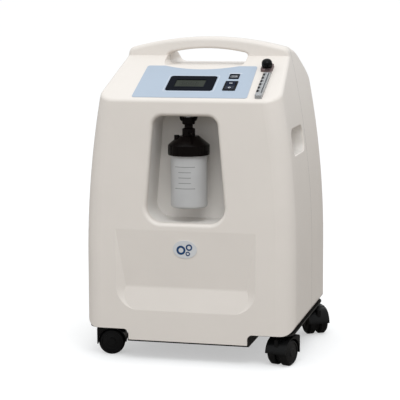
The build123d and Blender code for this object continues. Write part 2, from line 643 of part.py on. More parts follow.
with BuildPart() as relief_valve:
    with BuildSketch(Plane.XY.offset(LID_HIGH_Z + 8)):
        with Locations((BOTTLE_X - 21, BOTTLE_Y - 8)):
            RegularPolygon(5, 8)
    extrude(amount=9)
    fillet(relief_valve.faces().sort_by(Axis.Z)[-1].edges(), 1)
    add(humidifier_lid.part, mode=Mode.SUBTRACT)
save(relief_valve.part.solids().sort_by(Axis.Z)[-1], "relief_valve")

with BuildPart() as wing_nut:
    with BuildSketch(HALF_SECTION):
        with BuildLine():
            Polyline(
                (5 + RUN_GAP, NECK_Z + 0.4), (11, NECK_Z + 0.4), (12, NECK_Z + 2), (12, NUT_TOP_Z - 1),
                (11, NUT_TOP_Z), (FITTING_R + 0.3, NUT_TOP_Z), (FITTING_R + 0.3, NECK_Z + 3.5),
                (5 + RUN_GAP, NECK_Z + 3.5), close=True,
            )
        make_face()
    revolve(axis=BOTTLE_AXIS)
    with BuildSketch(HALF_SECTION.offset(-2.5)) as wing_view:
        with BuildLine():
            Polyline(
                (9, NECK_Z + 3), (15.5, NECK_Z + 8), (17.5, NUT_TOP_Z + 1), (11.5, NUT_TOP_Z + 1), (9, NUT_TOP_Z - 2),
                close=True,
            )
        make_face()
        fillet(wing_view.vertices().group_by(Axis.X)[-1], 2)
    ear = extrude(amount=5, mode=Mode.PRIVATE)
    add([ear, ear.rotate(BOTTLE_AXIS, 180)])
save(wing_nut.part, "wing_nut")

with BuildPart() as lid_gasket:
    with BuildSketch(BOTTLE.offset(JAR_RIM_Z)):
        Circle(JAR_R + 0.6)
        Circle(JAR_R - 4, mode=Mode.SUBTRACT)
    extrude(amount=1.2)
save(lid_gasket.part, "lid_gasket")

with BuildPart() as humidifier_jar:
    with BuildSketch(BOTTLE.offset(JAR_LOW_Z)):
        Circle(JAR_R)
    extrude(amount=JAR_RIM_Z - JAR_LOW_Z)
    fillet(humidifier_jar.faces().sort_by(Axis.Z)[0].edges(), 5)
    with BuildSketch(BOTTLE.offset(JAR_LOW_Z + 3)):
        Circle(JAR_R - JAR_WALL)
    extrude(amount=JAR_RIM_Z - JAR_LOW_Z, mode=Mode.SUBTRACT)
    with BuildSketch(BOTTLE.offset(392)):
        Circle(JAR_R + 1.0)
        Circle(JAR_R - 1, mode=Mode.SUBTRACT)
    extrude(amount=1.6)
    with BuildSketch(BOTTLE.offset(397)):
        Circle(JAR_R + 1.0)
        Circle(JAR_R - 1, mode=Mode.SUBTRACT)
    extrude(amount=1.6)
save(humidifier_jar.part, "humidifier_jar")

with BuildPart() as dip_tube:
    with BuildSketch(BOTTLE.offset(JAR_LOW_Z + 24)):
        Circle(3)
        Circle(1.6, mode=Mode.SUBTRACT)
    extrude(amount=LID_HIGH_Z + 10 - JAR_LOW_Z - 24)
    with BuildSketch(BOTTLE.offset(JAR_LOW_Z + 10)):
        Circle(6)
    extrude(amount=18)
    fillet(dip_tube.faces().sort_by(Axis.Z)[0].edges(), 1.5)
save(dip_tube.part, "dip_tube")

# ---- base pan and casters ----------------------------------------------------------------
with BuildPart() as base_pan:
    with BuildSketch(Plane.XZ):
        with BuildLine():
            Polyline(
                (0, PAN_Z), (SKIRT_X + 2.5, PAN_Z), (SKIRT_X + 2.5, FLANGE_Z), (HALF_W, FLANGE_Z),
                (HALF_W, FLANGE_Z + PAN_T), (SKIRT_X - 0.5, FLANGE_Z + PAN_T), (SKIRT_X - 0.5, PAN_Z + PAN_T),
                (0, PAN_Z + PAN_T), close=True,
            )
        make_face()
        mirror(about=Plane.YZ)
    extrude(amount=HALF_W, both=True)
    add(casing_block(WALL + 0.3, 0), mode=Mode.INTERSECT)
    with BuildSketch(Plane.XY.offset(PAN_Z - 1)):
        with GridLocations(2 * CASTER_X, 2 * CASTER_Y, 2, 2):
            Circle(SOCKET_R)
        with GridLocations(30, 14, 5, 7):
            SlotOverall(22, 5)
    extrude(amount=40, mode=Mode.SUBTRACT)
save(base_pan.part, "base_pan")

with BuildPart() as caster_sockets:
    with BuildSketch(Plane.XY.offset(FLANGE_Z)):
        with GridLocations(2 * CASTER_X, 2 * CASTER_Y, 2, 2):
            Circle(SOCKET_R)
    extrude(amount=26)
    with BuildSketch(Plane.XY.offset(FLANGE_Z - 1.2)):
        with GridLocations(2 * CASTER_X, 2 * CASTER_Y, 2, 2):
            Circle(SOCKET_R + 3)
    extrude(amount=1.2)
    with BuildSketch(Plane.XY.offset(FLANGE_Z - 2)):
        with GridLocations(2 * CASTER_X, 2 * CASTER_Y, 2, 2):
            Circle(STEM_R + RUN_GAP)
    extrude(amount=25, mode=Mode.SUBTRACT)
save(caster_sockets.part, "caster_sockets")


def caster_hood(upright):
    """Hood, axle web and swivel stem; upright is the wheel plane through the swivel axis."""
    with BuildPart() as hood:
        with BuildSketch(upright) as hood_view:
            with Locations((TRAIL, WHEEL_R)):
                Circle(HOOD_R)
                Rectangle(3 * HOOD_R, 2 * HOOD_R, align=(Align.CENTER, Align.MAX), mode=Mode.SUBTRACT)
            with BuildLine():
                Polyline(
                    (TRAIL - HOOD_R, WHEEL_R - 4), (TRAIL - HOOD_R, HOOD_TOP_Z), (TRAIL - 2, HOOD_TOP_Z),
                    (TRAIL + 16, HOOD_TOP_Z - 7), (TRAIL, WHEEL_R), (TRAIL, WHEEL_R - 4), close=True,
                )
            make_face()
            fillet(hood_view.vertices().group_by(Axis.Y)[-1].sort_by(Axis.X)[0], 4)
        extrude(amount=WHEEL_GAP + WHEEL_W, both=True)
        with BuildSketch(upright):
            with Locations((TRAIL, WHEEL_R)):
                Circle(WHEEL_R + 1.2)
        extrude(amount=WHEEL_GAP + WHEEL_W + 5, both=True, mode=Mode.SUBTRACT)
        with BuildSketch(upright):
            with Locations((TRAIL, WHEEL_R)):
                Circle(WHEEL_R - 5)
                Rectangle(2 * HOOD_R - 6, HOOD_R - 1.5, align=(Align.CENTER, Align.MIN))
        extrude(amount=WHEEL_GAP - 1, both=True)
        with BuildSketch(upright):
            with Locations((TRAIL, WHEEL_R)):
                Circle(AXLE_R)
        extrude(amount=WHEEL_GAP + 5, both=True, mode=Mode.SUBTRACT)
        swivel_foot = Plane(origin=(upright.origin.X, upright.origin.Y, HOOD_TOP_Z - 2))
        with BuildSketch(swivel_foot):
            Circle(9)
        extrude(amount=FLANGE_Z - 1.5 - HOOD_TOP_Z + 2)
        with BuildSketch(swivel_foot):
            Circle(STEM_R)
        extrude(amount=FLANGE_Z + 20 - HOOD_TOP_Z)
    return hood.part


def caster_wheel(outward, centre):
    """One wheel of a twin pair: tyre, dished hub and bore, drawn as a half section and revolved."""
    section = Plane(origin=centre, x_dir=(0, 0, 1), z_dir=outward.cross(Vector(0, 0, 1)).normalized() * -1)
    w = WHEEL_W
    with BuildPart() as wheel:
        with BuildSketch(section):
            with BuildLine():
                Polyline(
                    (AXLE_R + RUN_GAP, 0), (WHEEL_R - 2, 0), (WHEEL_R, 2), (WHEEL_R, w - 5),
                    (WHEEL_R - 3.5, w - 1.2), (WHEEL_R - 6, w - 0.8), (WHEEL_R - 7, w - 2.2),
                    (8, w - 1.0), (7, w), (0, w), (0, w - 2), (AXLE_R + RUN_GAP, w - 2), close=True,
                )
            make_face()
        revolve(axis=Axis(centre, outward))
    return wheel.part


for corner, (swivel_x, swivel_y, heading) in CASTERS.items():
    along = Vector(cos(radians(heading)), sin(radians(heading)), 0)
    across = Vector(sin(radians(heading)), -cos(radians(heading)), 0)
    upright_plane = Plane(origin=(swivel_x, swivel_y, 0), x_dir=along, z_dir=across)
    axle_centre = Vector(swivel_x, swivel_y, WHEEL_R) + along * TRAIL
    save(caster_hood(upright_plane), f"caster_hood_{corner}")
    with BuildPart() as caster_axle:
        with BuildSketch(Plane(origin=axle_centre, x_dir=along, z_dir=across)):
            Circle(AXLE_R)
        extrude(amount=WHEEL_GAP + WHEEL_W - 2.5, both=True)
    save(caster_axle.part, f"caster_axle_{corner}")
    for side, word in ((1, "a"), (-1, "b")):
        outward = across * side
        save(caster_wheel(outward, axle_centre + outward * WHEEL_GAP), f"caster_wheel_{corner}_{word}")

# ---- rear face pieces --------------------------------------------------------------------
with BuildPart() as intake_door:
    with BuildSketch(BACK):
        with Locations((-(DOOR_PIN_X + DOOR_X + DOOR_W / 2 - DOOR_GAP) / 2, DOOR_Z)):
            Rectangle(DOOR_X + DOOR_W / 2 - DOOR_GAP - DOOR_PIN_X, DOOR_H - 2 * DOOR_GAP)
        with Locations((-DOOR_X, DOOR_Z)):
            with GridLocations(1, 12, 1, 9):
                SlotOverall(DOOR_W - 30, 6, mode=Mode.SUBTRACT)
    extrude(amount=-WALL)
    with Locations(Location((DOOR_PIN_X, DOOR_PIN_Y, DOOR_Z))):
        Cylinder(DOOR_BARREL_R, DOOR_H - 2 * DOOR_GAP)
        Cylinder(PEG_R, DOOR_H + 6)
save(intake_door.part, "intake_door")

with BuildPart() as intake_filter:
    with BuildSketch(BACK.offset(-(FRAME_DEPTH - 0.2))):
        with Locations((-DOOR_X, DOOR_Z)):
            RectangleRounded(DOOR_W - 2, DOOR_H - 2, 3)
    extrude(amount=FRAME_DEPTH - 9.2)
save(intake_filter.part, "intake_filter")

with BuildPart() as power_inlet:
    with BuildSketch(BACK):
        with Locations((-INLET_X, INLET_Z)):
            RectangleRounded(INLET_W, INLET_H, 4)
    extrude(amount=2.5)
    with BuildSketch(BACK):
        with Locations((-INLET_X, INLET_Z)):
            Rectangle(INLET_W - 8, INLET_H - 6)
    extrude(amount=-INLET_DEPTH)
    # the appliance inlet with its three pins
    with BuildSketch(BACK.offset(2.5)):
        with Locations((-INLET_X + SOCKET_OFFSET, INLET_Z)):
            RectangleRounded(24, 16, 3)
    extrude(amount=-15, mode=Mode.SUBTRACT)
    with BuildSketch(BACK.offset(-12.6)):
        with Locations((-INLET_X + SOCKET_OFFSET, INLET_Z)):
            with Locations((-7, -2), (0, 2), (7, -2)):
                Rectangle(2, 4)
    extrude(amount=12)
    # collar and bore of the breaker button
    with BuildSketch(BACK.offset(2.5)):
        with Locations((-INLET_X - BREAKER_OFFSET, INLET_Z)):
            Circle(BREAKER_R + 2.5)
    extrude(amount=1.5)
    with BuildSketch(BACK.offset(5)):
        with Locations((-INLET_X - BREAKER_OFFSET, INLET_Z)):
            Circle(BREAKER_R + RUN_GAP)
    extrude(amount=-12, mode=Mode.SUBTRACT)
save(power_inlet.part, "power_inlet")

with BuildPart() as breaker_button:
    with BuildSketch(BACK.offset(-3)):
        with Locations((-INLET_X - BREAKER_OFFSET, INLET_Z)):
            Circle(BREAKER_R)
    extrude(amount=10.5)
    fillet(breaker_button.faces().sort_by(Axis.Y)[-1].edges(), 1)
save(breaker_button.part, "breaker_button")

with BuildPart() as rating_plate:
    with BuildSketch(BACK):
        with Locations((-PLATE_X, PLATE_Z)):
            RectangleRounded(90, 55, 3)
    extrude(amount=0.6)
save(rating_plate.part, "rating_plate")

with BuildPart() as casing_screws:
    with BuildSketch(BACK):
        with Locations(*[(-x, z) for x, z in SCREWS]):
            Circle(SCREW_R)
    extrude(amount=-11)
    with BuildSketch(BACK):
        with Locations(*[(-x, z) for x, z in SCREWS]):
            Circle(3.8)
    extrude(amount=2.4, taper=14)
    with BuildSketch(BACK.offset(2.4)):
        with Locations(*[(-x, z) for x, z in SCREWS]):
            Rectangle(4.4, 0.9)
            Rectangle(0.9, 4.4)
    extrude(amount=-1.3, mode=Mode.SUBTRACT)
save(casing_screws.part, "casing_screws")

# ---- compressor --------------------------------------------------------------------------
with BuildPart() as compressor_body:
    with BuildSketch(Plane.YZ):
        with Locations((PUMP_Y, PUMP_Z)):
            Circle(STATOR_R)
            Circle(ROTOR_R + 1, mode=Mode.SUBTRACT)
    extrude(amount=CRANK_X, both=True)
    for side in (-1, 1):
        with BuildSketch(Plane.YZ.offset(side * CRANK_X)):
            with Locations((PUMP_Y, PUMP_Z)):
                RectangleRounded(90, 90, 10)
        extrude(amount=side * CRANK_W)
        with BuildSketch(Plane.YZ.offset(side * (CRANK_X + 6))):
            with Locations((PUMP_Y, PUMP_Z)):
                Circle(36)
        extrude(amount=side * (CRANK_W - 12), mode=Mode.SUBTRACT)
        with BuildSketch(Plane.XY.offset(PUMP_Z)):
            with Locations((side * (CRANK_X + CRANK_W / 2), PUMP_Y)):
                Circle(20)
        extrude(amount=60, mode=Mode.SUBTRACT)
    with BuildSketch(Plane.YZ):
        with Locations((PUMP_Y, PUMP_Z)):
            Circle(SHAFT_R + RUN_GAP)
    extrude(amount=CRANK_X + CRANK_W - 2, both=True, mode=Mode.SUBTRACT)
save(compressor_body.part, "compressor_body")

with BuildPart() as compressor_heads:
    for side in (-1, 1):
        cylinder_x = side * (CRANK_X + CRANK_W / 2)
        with BuildSketch(Plane.XY.offset(PUMP_Z + 45)):
            with Locations((cylinder_x, PUMP_Y)):
                Circle(26)
                Circle(20, mode=Mode.SUBTRACT)
        extrude(amount=36)
        for fin in range(5):
            with BuildSketch(Plane.XY.offset(PUMP_Z + 49 + 6 * fin)):
                with Locations((cylinder_x, PUMP_Y)):
                    RectangleRounded(58, 66, 8)
                    Circle(25, mode=Mode.SUBTRACT)
            extrude(amount=2)
        with BuildSketch(Plane.XY.offset(PUMP_Z + 81)):
            with Locations((cylinder_x, PUMP_Y)):
                RectangleRounded(58, 66, 8)
        extrude(amount=10)
        with BuildSketch(Plane.XY.offset(PUMP_Z + 91)):
            with Locations((cylinder_x, PUMP_Y)):
                with GridLocations(9, 1, 6, 1):
                    Rectangle(2.4, 58)
        extrude(amount=9)
        with BuildSketch(Plane.XY.offset(PUMP_Z + 91)):
            with Locations((cylinder_x, PUMP_Y)):
                Circle(8)
        extrude(amount=HOSE_START_Z - PUMP_Z - 91)
save(compressor_heads.part, "compressor_heads")

with BuildPart() as compressor_shaft:
    with BuildSketch(Plane.YZ):
        with Locations((PUMP_Y, PUMP_Z)):
            Circle(SHAFT_R)
    extrude(amount=CRANK_X + CRANK_W - 3, both=True)
    with BuildSketch(Plane.YZ):
        with Locations((PUMP_Y, PUMP_Z)):
            Circle(ROTOR_R)
    extrude(amount=35, both=True)
    for side in (-1, 1):
        with BuildSketch(Plane.YZ.offset(side * (CRANK_X + CRANK_W / 2 - 8))):
            with Locations((PUMP_Y, PUMP_Z + side * 6)):
                Circle(20)
        extrude(amount=side * 16)
        with BuildSketch(Plane.YZ.offset(side * (CRANK_X + 12))):
            with Locations((PUMP_Y, PUMP_Z)):
                Circle(28)
            with Locations((PUMP_Y, PUMP_Z + side * 30)):
                Rectangle(80, 50, mode=Mode.SUBTRACT)
        extrude(amount=side * 8)
save(compressor_shaft.part, "compressor_shaft")

with BuildPart() as compressor_mounts:
    with BuildSketch(Plane.XY.offset(PAN_Z + PAN_T)):
        with Locations((0, PUMP_Y)):
            with GridLocations(176, 78, 2, 2):
                Circle(14)
    extrude(amount=PUMP_Z - 45 - PAN_Z - PAN_T)
    waist = compressor_mounts.edges().filter_by(GeomType.CIRCLE)
    chamfer(waist, 3)
save(compressor_mounts.part, "compressor_mounts")

# ---- cooling fan -------------------------------------------------------------------------
with BuildPart() as fan_deck:
    with BuildSketch(Plane.XY.offset(DECK_Z)):
        with Locations((0, 40)):
            Rectangle(2 * HALF_W, 256)
        with Locations((0, FAN_Y)):
            Circle(FAN_R - 1, mode=Mode.SUBTRACT)
        with Locations((-BED_X, BED_Y), (BED_X, BED_Y)):
            Circle(BED_R + 1.5, mode=Mode.SUBTRACT)
        with Locations((-CRANK_X - CRANK_W / 2, PUMP_Y), (CRANK_X + CRANK_W / 2, PUMP_Y)):
            Circle(HOSE_R + 2, mode=Mode.SUBTRACT)
    extrude(amount=DECK_T)
    add(casing_block(WALL + 0.3, 0), mode=Mode.INTERSECT)
save(fan_deck.part, "fan_deck")

with BuildPart() as fan_frame:
    with BuildSketch(Plane.XY.offset(DECK_Z + DECK_T)):
        with Locations((0, FAN_Y)):
            RectangleRounded(120, 120, 6)
            Circle(FAN_R, mode=Mode.SUBTRACT)
            with GridLocations(105, 105, 2, 2):
                Circle(2.2, mode=Mode.SUBTRACT)
    extrude(amount=25)
    with BuildSketch(Plane.XY.offset(DECK_Z + DECK_T)):
        with Locations((0, FAN_Y)):
            Circle(20)
            Rectangle(116, 5)
            Rectangle(5, 116)
            Circle(AXLE_R + RUN_GAP, mode=Mode.SUBTRACT)
    extrude(amount=4)
save(fan_frame.part, "fan_frame")

with BuildPart() as fan_rotor:
    with BuildSketch(Plane.XY.offset(DECK_Z + DECK_T + 0.5)):
        with Locations((0, FAN_Y)):
            Circle(AXLE_R)
    extrude(amount=10)
    with BuildSketch(Plane.XY.offset(DECK_Z + DECK_T + 5)):
        with Locations((0, FAN_Y)):
            Circle(20)
    extrude(amount=18)
    fillet(fan_rotor.faces().sort_by(Axis.Z)[-1].edges(), 2)
    with Locations(Location((0, FAN_Y, DECK_Z + DECK_T + 14))):
        with PolarLocations(36.5, 7):
            Box(35, 19, 1.8, rotation=(32, 0, 0))
save(fan_rotor.part, "fan_rotor")

# ---- gas side ----------------------------------------------------------------------------
with BuildPart() as sieve_beds:
    with BuildSketch(Plane.XY.offset(FLANGE_Z + PAN_T)):
        with Locations((-BED_X, BED_Y), (BED_X, BED_Y)):
            Circle(BED_R)
    extrude(amount=BED_TOP_Z - FLANGE_Z - PAN_T)
    fillet(sieve_beds.edges().filter_by(GeomType.CIRCLE), 4)
    for band_z in (90, BED_TOP_Z - 30):
        with BuildSketch(Plane.XY.offset(band_z)):
            with Locations((-BED_X, BED_Y), (BED_X, BED_Y)):
                Circle(BED_R + 1)
        extrude(amount=8)
    with BuildSketch(Plane.XY.offset(BED_TOP_Z)):
        with Locations((-BED_X, BED_PORT_Y), (BED_X, BED_PORT_Y)):
            Circle(HOSE_R + 3)
    extrude(amount=4)
save(sieve_beds.part, "sieve_beds")

with BuildPart() as product_tank:
    with BuildSketch(Plane.XY.offset(DECK_Z + DECK_T)):
        with Locations((TANK_X, TANK_Y)):
            Circle(TANK_R)
    extrude(amount=TANK_TOP_Z - DECK_Z - DECK_T)
    fillet(product_tank.edges().filter_by(GeomType.CIRCLE), 8)
    with BuildSketch(Plane.XY.offset(TANK_TOP_Z)):
        with Locations((TANK_X, TANK_Y)):
            Circle(HOSE_R + 3)
    extrude(amount=5)
save(product_tank.part, "product_tank")

with BuildPart() as valve_block:
    with BuildSketch(Plane.XY.offset(DECK_Z + DECK_T)):
        with Locations((0, VALVE_Y)):
            RectangleRounded(120, 44, 4)
    extrude(amount=30)
    with BuildSketch(Plane.XY.offset(DECK_Z + DECK_T + 30)):
        with Locations((-30, VALVE_Y), (30, VALVE_Y)):
            Circle(14)
    extrude(amount=42)
    with BuildSketch(Plane.XY.offset(DECK_Z + DECK_T + 36)):
        with Locations((-30, VALVE_Y), (30, VALVE_Y)):
            RectangleRounded(32, 26, 3)
    extrude(amount=28)
save(valve_block.part, "valve_block")

with BuildPart() as control_board:
    with BuildSketch(SLOPE.offset(BOARD_N)):
        with Locations((0, 88)):
            Rectangle(200, 84)
    extrude(amount=-1.6)
    with BuildSketch(SLOPE.offset(BOARD_N)):
        with Locations((0, 88)):
            with GridLocations(186, 70, 2, 2):
                Circle(3)
    extrude(amount=-BOARD_N - WALL - 0.1)
    for width, height, x, s, drop in (
        (34, 26, -60, 100, 15), (18, 18, -18, 68, 3), (26, 14, 30, 104, 9), (10, 40, 82, 80, 10), (44, 10, -60, 62, 9),
    ):
        with BuildSketch(SLOPE.offset(BOARD_N - 1.6)):
            with Locations((x, s)):
                Rectangle(width, height)
        extrude(amount=-drop)
save(control_board.part, "control_board")


def hose(points, bend):
    """A hose along a bent path: the path's corners are rounded by the bend radius."""
    with BuildPart() as tube:
        with BuildLine() as path:
            FilletPolyline(*points, radius=bend)
        start = Vector(*points[0])
        with BuildSketch(Plane(origin=start, z_dir=Vector(*points[1]) - start)):
            Circle(HOSE_R)
            Circle(HOSE_R - 1.5, mode=Mode.SUBTRACT)
        sweep(path=path.line)
    return tube.part


pump_x = CRANK_X + CRANK_W / 2
block_z = DECK_Z + DECK_T + 15
hoses = []
for side in (-1, 1):
    face_x = side * 60.2
    hoses.append(
        hose(
            [(side * pump_x, PUMP_Y, HOSE_START_Z + 0.2), (side * pump_x, PUMP_Y, block_z),
             (side * pump_x, VALVE_Y + 10, block_z), (face_x, VALVE_Y + 10, block_z)],
            9,
        )
    )
    hoses.append(
        hose(
            [(face_x, BED_PORT_Y, block_z), (side * 94, BED_PORT_Y, block_z), (side * 94, BED_PORT_Y, 392),
             (side * BED_X, BED_PORT_Y, 392), (side * BED_X, BED_PORT_Y, BED_TOP_Z + 4.2)],
            10,
        )
    )
hoses.append(
    hose(
        [(0, VALVE_Y + 22.2, block_z + 8), (0, -22, block_z + 8), (0, -22, 300), (TANK_X, -22, 300),
         (TANK_X, TANK_Y - TANK_R - 0.2, 300)],
        8,
    )
)
valve_foot = SLOPE.from_local_coords(Vector(KNOB_X, KNOB_S, -22.2))
valve_lead = SLOPE.from_local_coords(Vector(KNOB_X, KNOB_S, -80))
hoses.append(
    hose(
        [(TANK_X, TANK_Y, TANK_TOP_Z + 5.2), (TANK_X, TANK_Y, 470), tuple(valve_lead), tuple(valve_foot)],
        16,
    )
)
meter_foot = SLOPE.from_local_coords(Vector(FLOW_X, 27.4, -6.2))
meter_lead = SLOPE.from_local_coords(Vector(FLOW_X, 27.4, -14.6))
hoses.append(
    hose(
        [(BOTTLE_X, BOTTLE_Y, NICHE_TOP_Z + WALL + 14.2), (BOTTLE_X, BOTTLE_Y, meter_lead.Z),
         (FLOW_X, meter_lead.Y, meter_lead.Z), tuple(meter_foot)],
        5.5,
    )
)
save(Compound(children=hoses), "gas_hoses")
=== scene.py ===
import math

import bmesh
import bpy
from mathutils import Matrix, Vector


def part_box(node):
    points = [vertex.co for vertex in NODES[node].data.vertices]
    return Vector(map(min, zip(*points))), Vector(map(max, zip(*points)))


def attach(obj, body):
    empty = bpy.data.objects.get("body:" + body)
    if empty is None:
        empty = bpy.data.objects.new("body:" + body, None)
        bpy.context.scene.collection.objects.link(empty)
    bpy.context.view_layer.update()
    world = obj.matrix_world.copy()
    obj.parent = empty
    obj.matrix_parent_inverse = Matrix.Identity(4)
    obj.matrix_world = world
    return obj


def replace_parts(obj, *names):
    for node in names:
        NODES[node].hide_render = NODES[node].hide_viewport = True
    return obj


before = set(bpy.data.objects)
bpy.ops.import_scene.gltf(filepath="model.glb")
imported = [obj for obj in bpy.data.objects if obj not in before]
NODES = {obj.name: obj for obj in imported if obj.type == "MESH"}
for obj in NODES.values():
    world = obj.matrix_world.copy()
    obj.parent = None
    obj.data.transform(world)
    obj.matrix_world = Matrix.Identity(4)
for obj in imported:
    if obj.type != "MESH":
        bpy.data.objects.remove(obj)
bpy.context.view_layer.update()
MM = 0.001

# ---- places and sizes shared with the CAD, in millimetres --------------------------------
BROW_Y, BROW_Z, RIDGE_Y, RIDGE_Z = -170.0, 491.0, -9.0, 564.0
SLOPE_ANGLE = math.atan2(RIDGE_Z - BROW_Z, RIDGE_Y - BROW_Y)
LCD_X, LCD_S, LCD_W, LCD_H = -7.5, 63.0, 60.0, 31.0
METER_X, METER_S = 71.0, 91.0
SWITCH_X, SWITCH_S, ROCKER_N, ROCKER_R = 71.0, 54.5, -3.0, 14.0
FLOW_X, FLOW_LOW, FLOW_HIGH = 132.0, 9.0, 111.5
KNOB_X, KNOB_S, KNOB_R, KNOB_LOW, KNOB_TOP = 127.5, 124.0, 10.0, 7.0, 20.0
BOTTLE_X, BOTTLE_Y = -4.0, -139.0
JAR_R, JAR_LOW_Z = 34.0, 290.0
REAR_Y = 174.0
EXHAUST_X, EXHAUST_Z = 78.0, 118.0
SEAM_Y, SEAM_HALF_WIDTH = 12.0, 0.5
CASTER_HEADINGS = {"front_left": 13.0, "front_right": 252.0, "rear_right": 301.0, "rear_left": 239.0}
PLATE_X, PLATE_Z = -84.0, 330.0          # rating plate
FILM_LOW, FILM_HIGH = 0.78, 0.86         # prints on the overlay film, above the slope
SCREEN_LOW, SCREEN_HIGH = 0.55, 0.72     # segments on the display and fields on the rating plate


# ---- small geometry helpers --------------------------------------------------------------
def plane(origin, right, up):
    """Drawing plane as a matrix: X runs right, Y runs up and Z stands out of the surface."""
    right = Vector(right).normalized()
    up = Vector(up).normalized()
    out = right.cross(up)
    turn = Matrix((right, up, out)).transposed().to_4x4()
    return Matrix.Translation(Vector(origin) * MM) @ turn


SLOPE = plane((0, BROW_Y, BROW_Z), (1, 0, 0), (0, math.cos(SLOPE_ANGLE), math.sin(SLOPE_ANGLE)))
BACK = plane((0, REAR_Y, 0), (-1, 0, 0), (0, 0, 1))
SHARP_ANGLE = math.radians(32.0)


def new_piece(name, bm, place, material, body):
    """Turns a bmesh drawn in millimetres on a plane into a piece riding on a body."""
    bmesh.ops.remove_doubles(bm, verts=bm.verts, dist=1e-5)
    bmesh.ops.recalc_face_normals(bm, faces=bm.faces)
    bmesh.ops.scale(bm, vec=(MM, MM, MM), verts=bm.verts)
    bmesh.ops.transform(bm, matrix=place, verts=bm.verts)
    mesh = bpy.data.meshes.new(name)
    bm.to_mesh(mesh)
    bm.free()
    mesh.shade_smooth()
    mesh.materials.append(material)
    mesh.set_sharp_from_angle(angle=SHARP_ANGLE)
    piece = bpy.data.objects.new(name, mesh)
    bpy.context.scene.collection.objects.link(piece)
    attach(piece, body)
    return piece


def merge(target, part):
    """Moves everything in one bmesh into another."""
    carrier = bpy.data.meshes.new("carrier")
    part.to_mesh(carrier)
    part.free()
    target.from_mesh(carrier)
    bpy.data.meshes.remove(carrier)


def rounded_outline(width, height, radius, steps=5):
    """Points of a rounded rectangle centred on the origin."""
    points = []
    for corner, (sx, sy) in enumerate(((1, 1), (-1, 1), (-1, -1), (1, -1))):
        centre_x = sx * (width / 2 - radius)
        centre_y = sy * (height / 2 - radius)
        for step in range(steps + 1):
            turn = math.radians(90 * corner + 90 * step / steps)
            points.append((centre_x + radius * math.cos(turn), centre_y + radius * math.sin(turn)))
    return points


def add_prism(bm, points, low, high, offset=(0, 0), chamfer=0.0):
    """A closed prism over an outline, with a small chamfer round its top."""
    rings = []
    centre_x = sum(p[0] for p in points) / len(points)
    centre_y = sum(p[1] for p in points) / len(points)
    reach = max(math.hypot(p[0] - centre_x, p[1] - centre_y) for p in points)
    levels = [(low, 1.0), (high, 1.0 - chamfer / reach)]
    if chamfer:
        levels.insert(1, (high - chamfer, 1.0))
    for level, shrink in levels:
        ring = []
        for x, y in points:
            at_x = offset[0] + centre_x + (x - centre_x) * shrink
            at_y = offset[1] + centre_y + (y - centre_y) * shrink
            ring.append(bm.verts.new((at_x, at_y, level)))
        rings.append(ring)
    for lower, upper in zip(rings, rings[1:]):
        for i in range(len(points)):
            j = (i + 1) % len(points)
            bm.faces.new((lower[i], lower[j], upper[j], upper[i]))
    bm.faces.new(list(reversed(rings[0])))
    bm.faces.new(rings[-1])


def add_ring(bm, outer, inner, low, high, offset=(0, 0)):
    """A closed frame between two outlines with the same number of points."""
    count = len(outer)
    loops = []
    for points, level in ((outer, low), (outer, high), (inner, high), (inner, low)):
        loops.append([bm.verts.new((offset[0] + x, offset[1] + y, level)) for x, y in points])
    for here, there in zip(loops, loops[1:] + loops[:1]):
        for i in range(count):
            j = (i + 1) % count
            bm.faces.new((here[i], here[j], there[j], there[i]))


def circle(radius, steps=40):
    """Points of a circle round the origin."""
    turns = [2 * math.pi * i / steps for i in range(steps)]
    return [(radius * math.cos(turn), radius * math.sin(turn)) for turn in turns]


def add_lathe(bm, profile, steps=64):
    """Revolves a closed profile of (radius, height) about Z."""
    rings = []
    for i in range(steps):
        turn = 2 * math.pi * i / steps
        rings.append([bm.verts.new((r * math.cos(turn), r * math.sin(turn), z)) for r, z in profile])
    for i in range(steps):
        here, there = rings[i], rings[(i + 1) % steps]
        for k in range(len(profile)):
            m = (k + 1) % len(profile)
            bm.faces.new((here[k], there[k], there[m], here[m]))


# ---- materials ---------------------------------------------------------------------------
def shader(name):
    """A new node material: the material, its tree and its principled shader."""
    material = bpy.data.materials.new(name)
    material.use_nodes = True
    tree = material.node_tree
    return material, tree, tree.nodes["Principled BSDF"]


def position(tree):
    """Object coordinates, from one node shared by the whole tree."""
    found = tree.nodes.get("place")
    if not found:
        found = tree.nodes.new("ShaderNodeTexCoord")
        found.name = "place"
    return found.outputs["Object"]


def noise(tree, scale, detail=3.0, vector=None):
    """Fractal noise over object coordinates, or over another vector."""
    node = tree.nodes.new("ShaderNodeTexNoise")
    node.inputs["Scale"].default_value = scale
    node.inputs["Detail"].default_value = detail
    node.inputs["Roughness"].default_value = 0.55
    tree.links.new(vector or position(tree), node.inputs["Vector"])
    return node.outputs["Fac"]


def ramp(tree, factor, low, high, start=0.3, end=0.7):
    """A colour that runs from low to high as the factor goes from start to end."""
    node = tree.nodes.new("ShaderNodeValToRGB")
    for element, at, colour in zip(node.color_ramp.elements, (start, end), (low, high)):
        element.position = at
        element.color = (*colour, 1.0)
    tree.links.new(factor, node.inputs["Fac"])
    return node.outputs["Color"]


def grey(tree, factor, low, high):
    """A number that runs from low to high as the factor goes from 0 to 1."""
    node = tree.nodes.new("ShaderNodeMapRange")
    node.inputs["To Min"].default_value = low
    node.inputs["To Max"].default_value = high
    tree.links.new(factor, node.inputs["Value"])
    return node.outputs["Result"]


def bump(tree, bsdf, height, strength, distance):
    """Fine relief on a shader."""
    node = tree.nodes.new("ShaderNodeBump")
    node.inputs["Strength"].default_value = strength
    node.inputs["Distance"].default_value = distance
    tree.links.new(height, node.inputs["Height"])
    tree.links.new(node.outputs["Normal"], bsdf.inputs["Normal"])


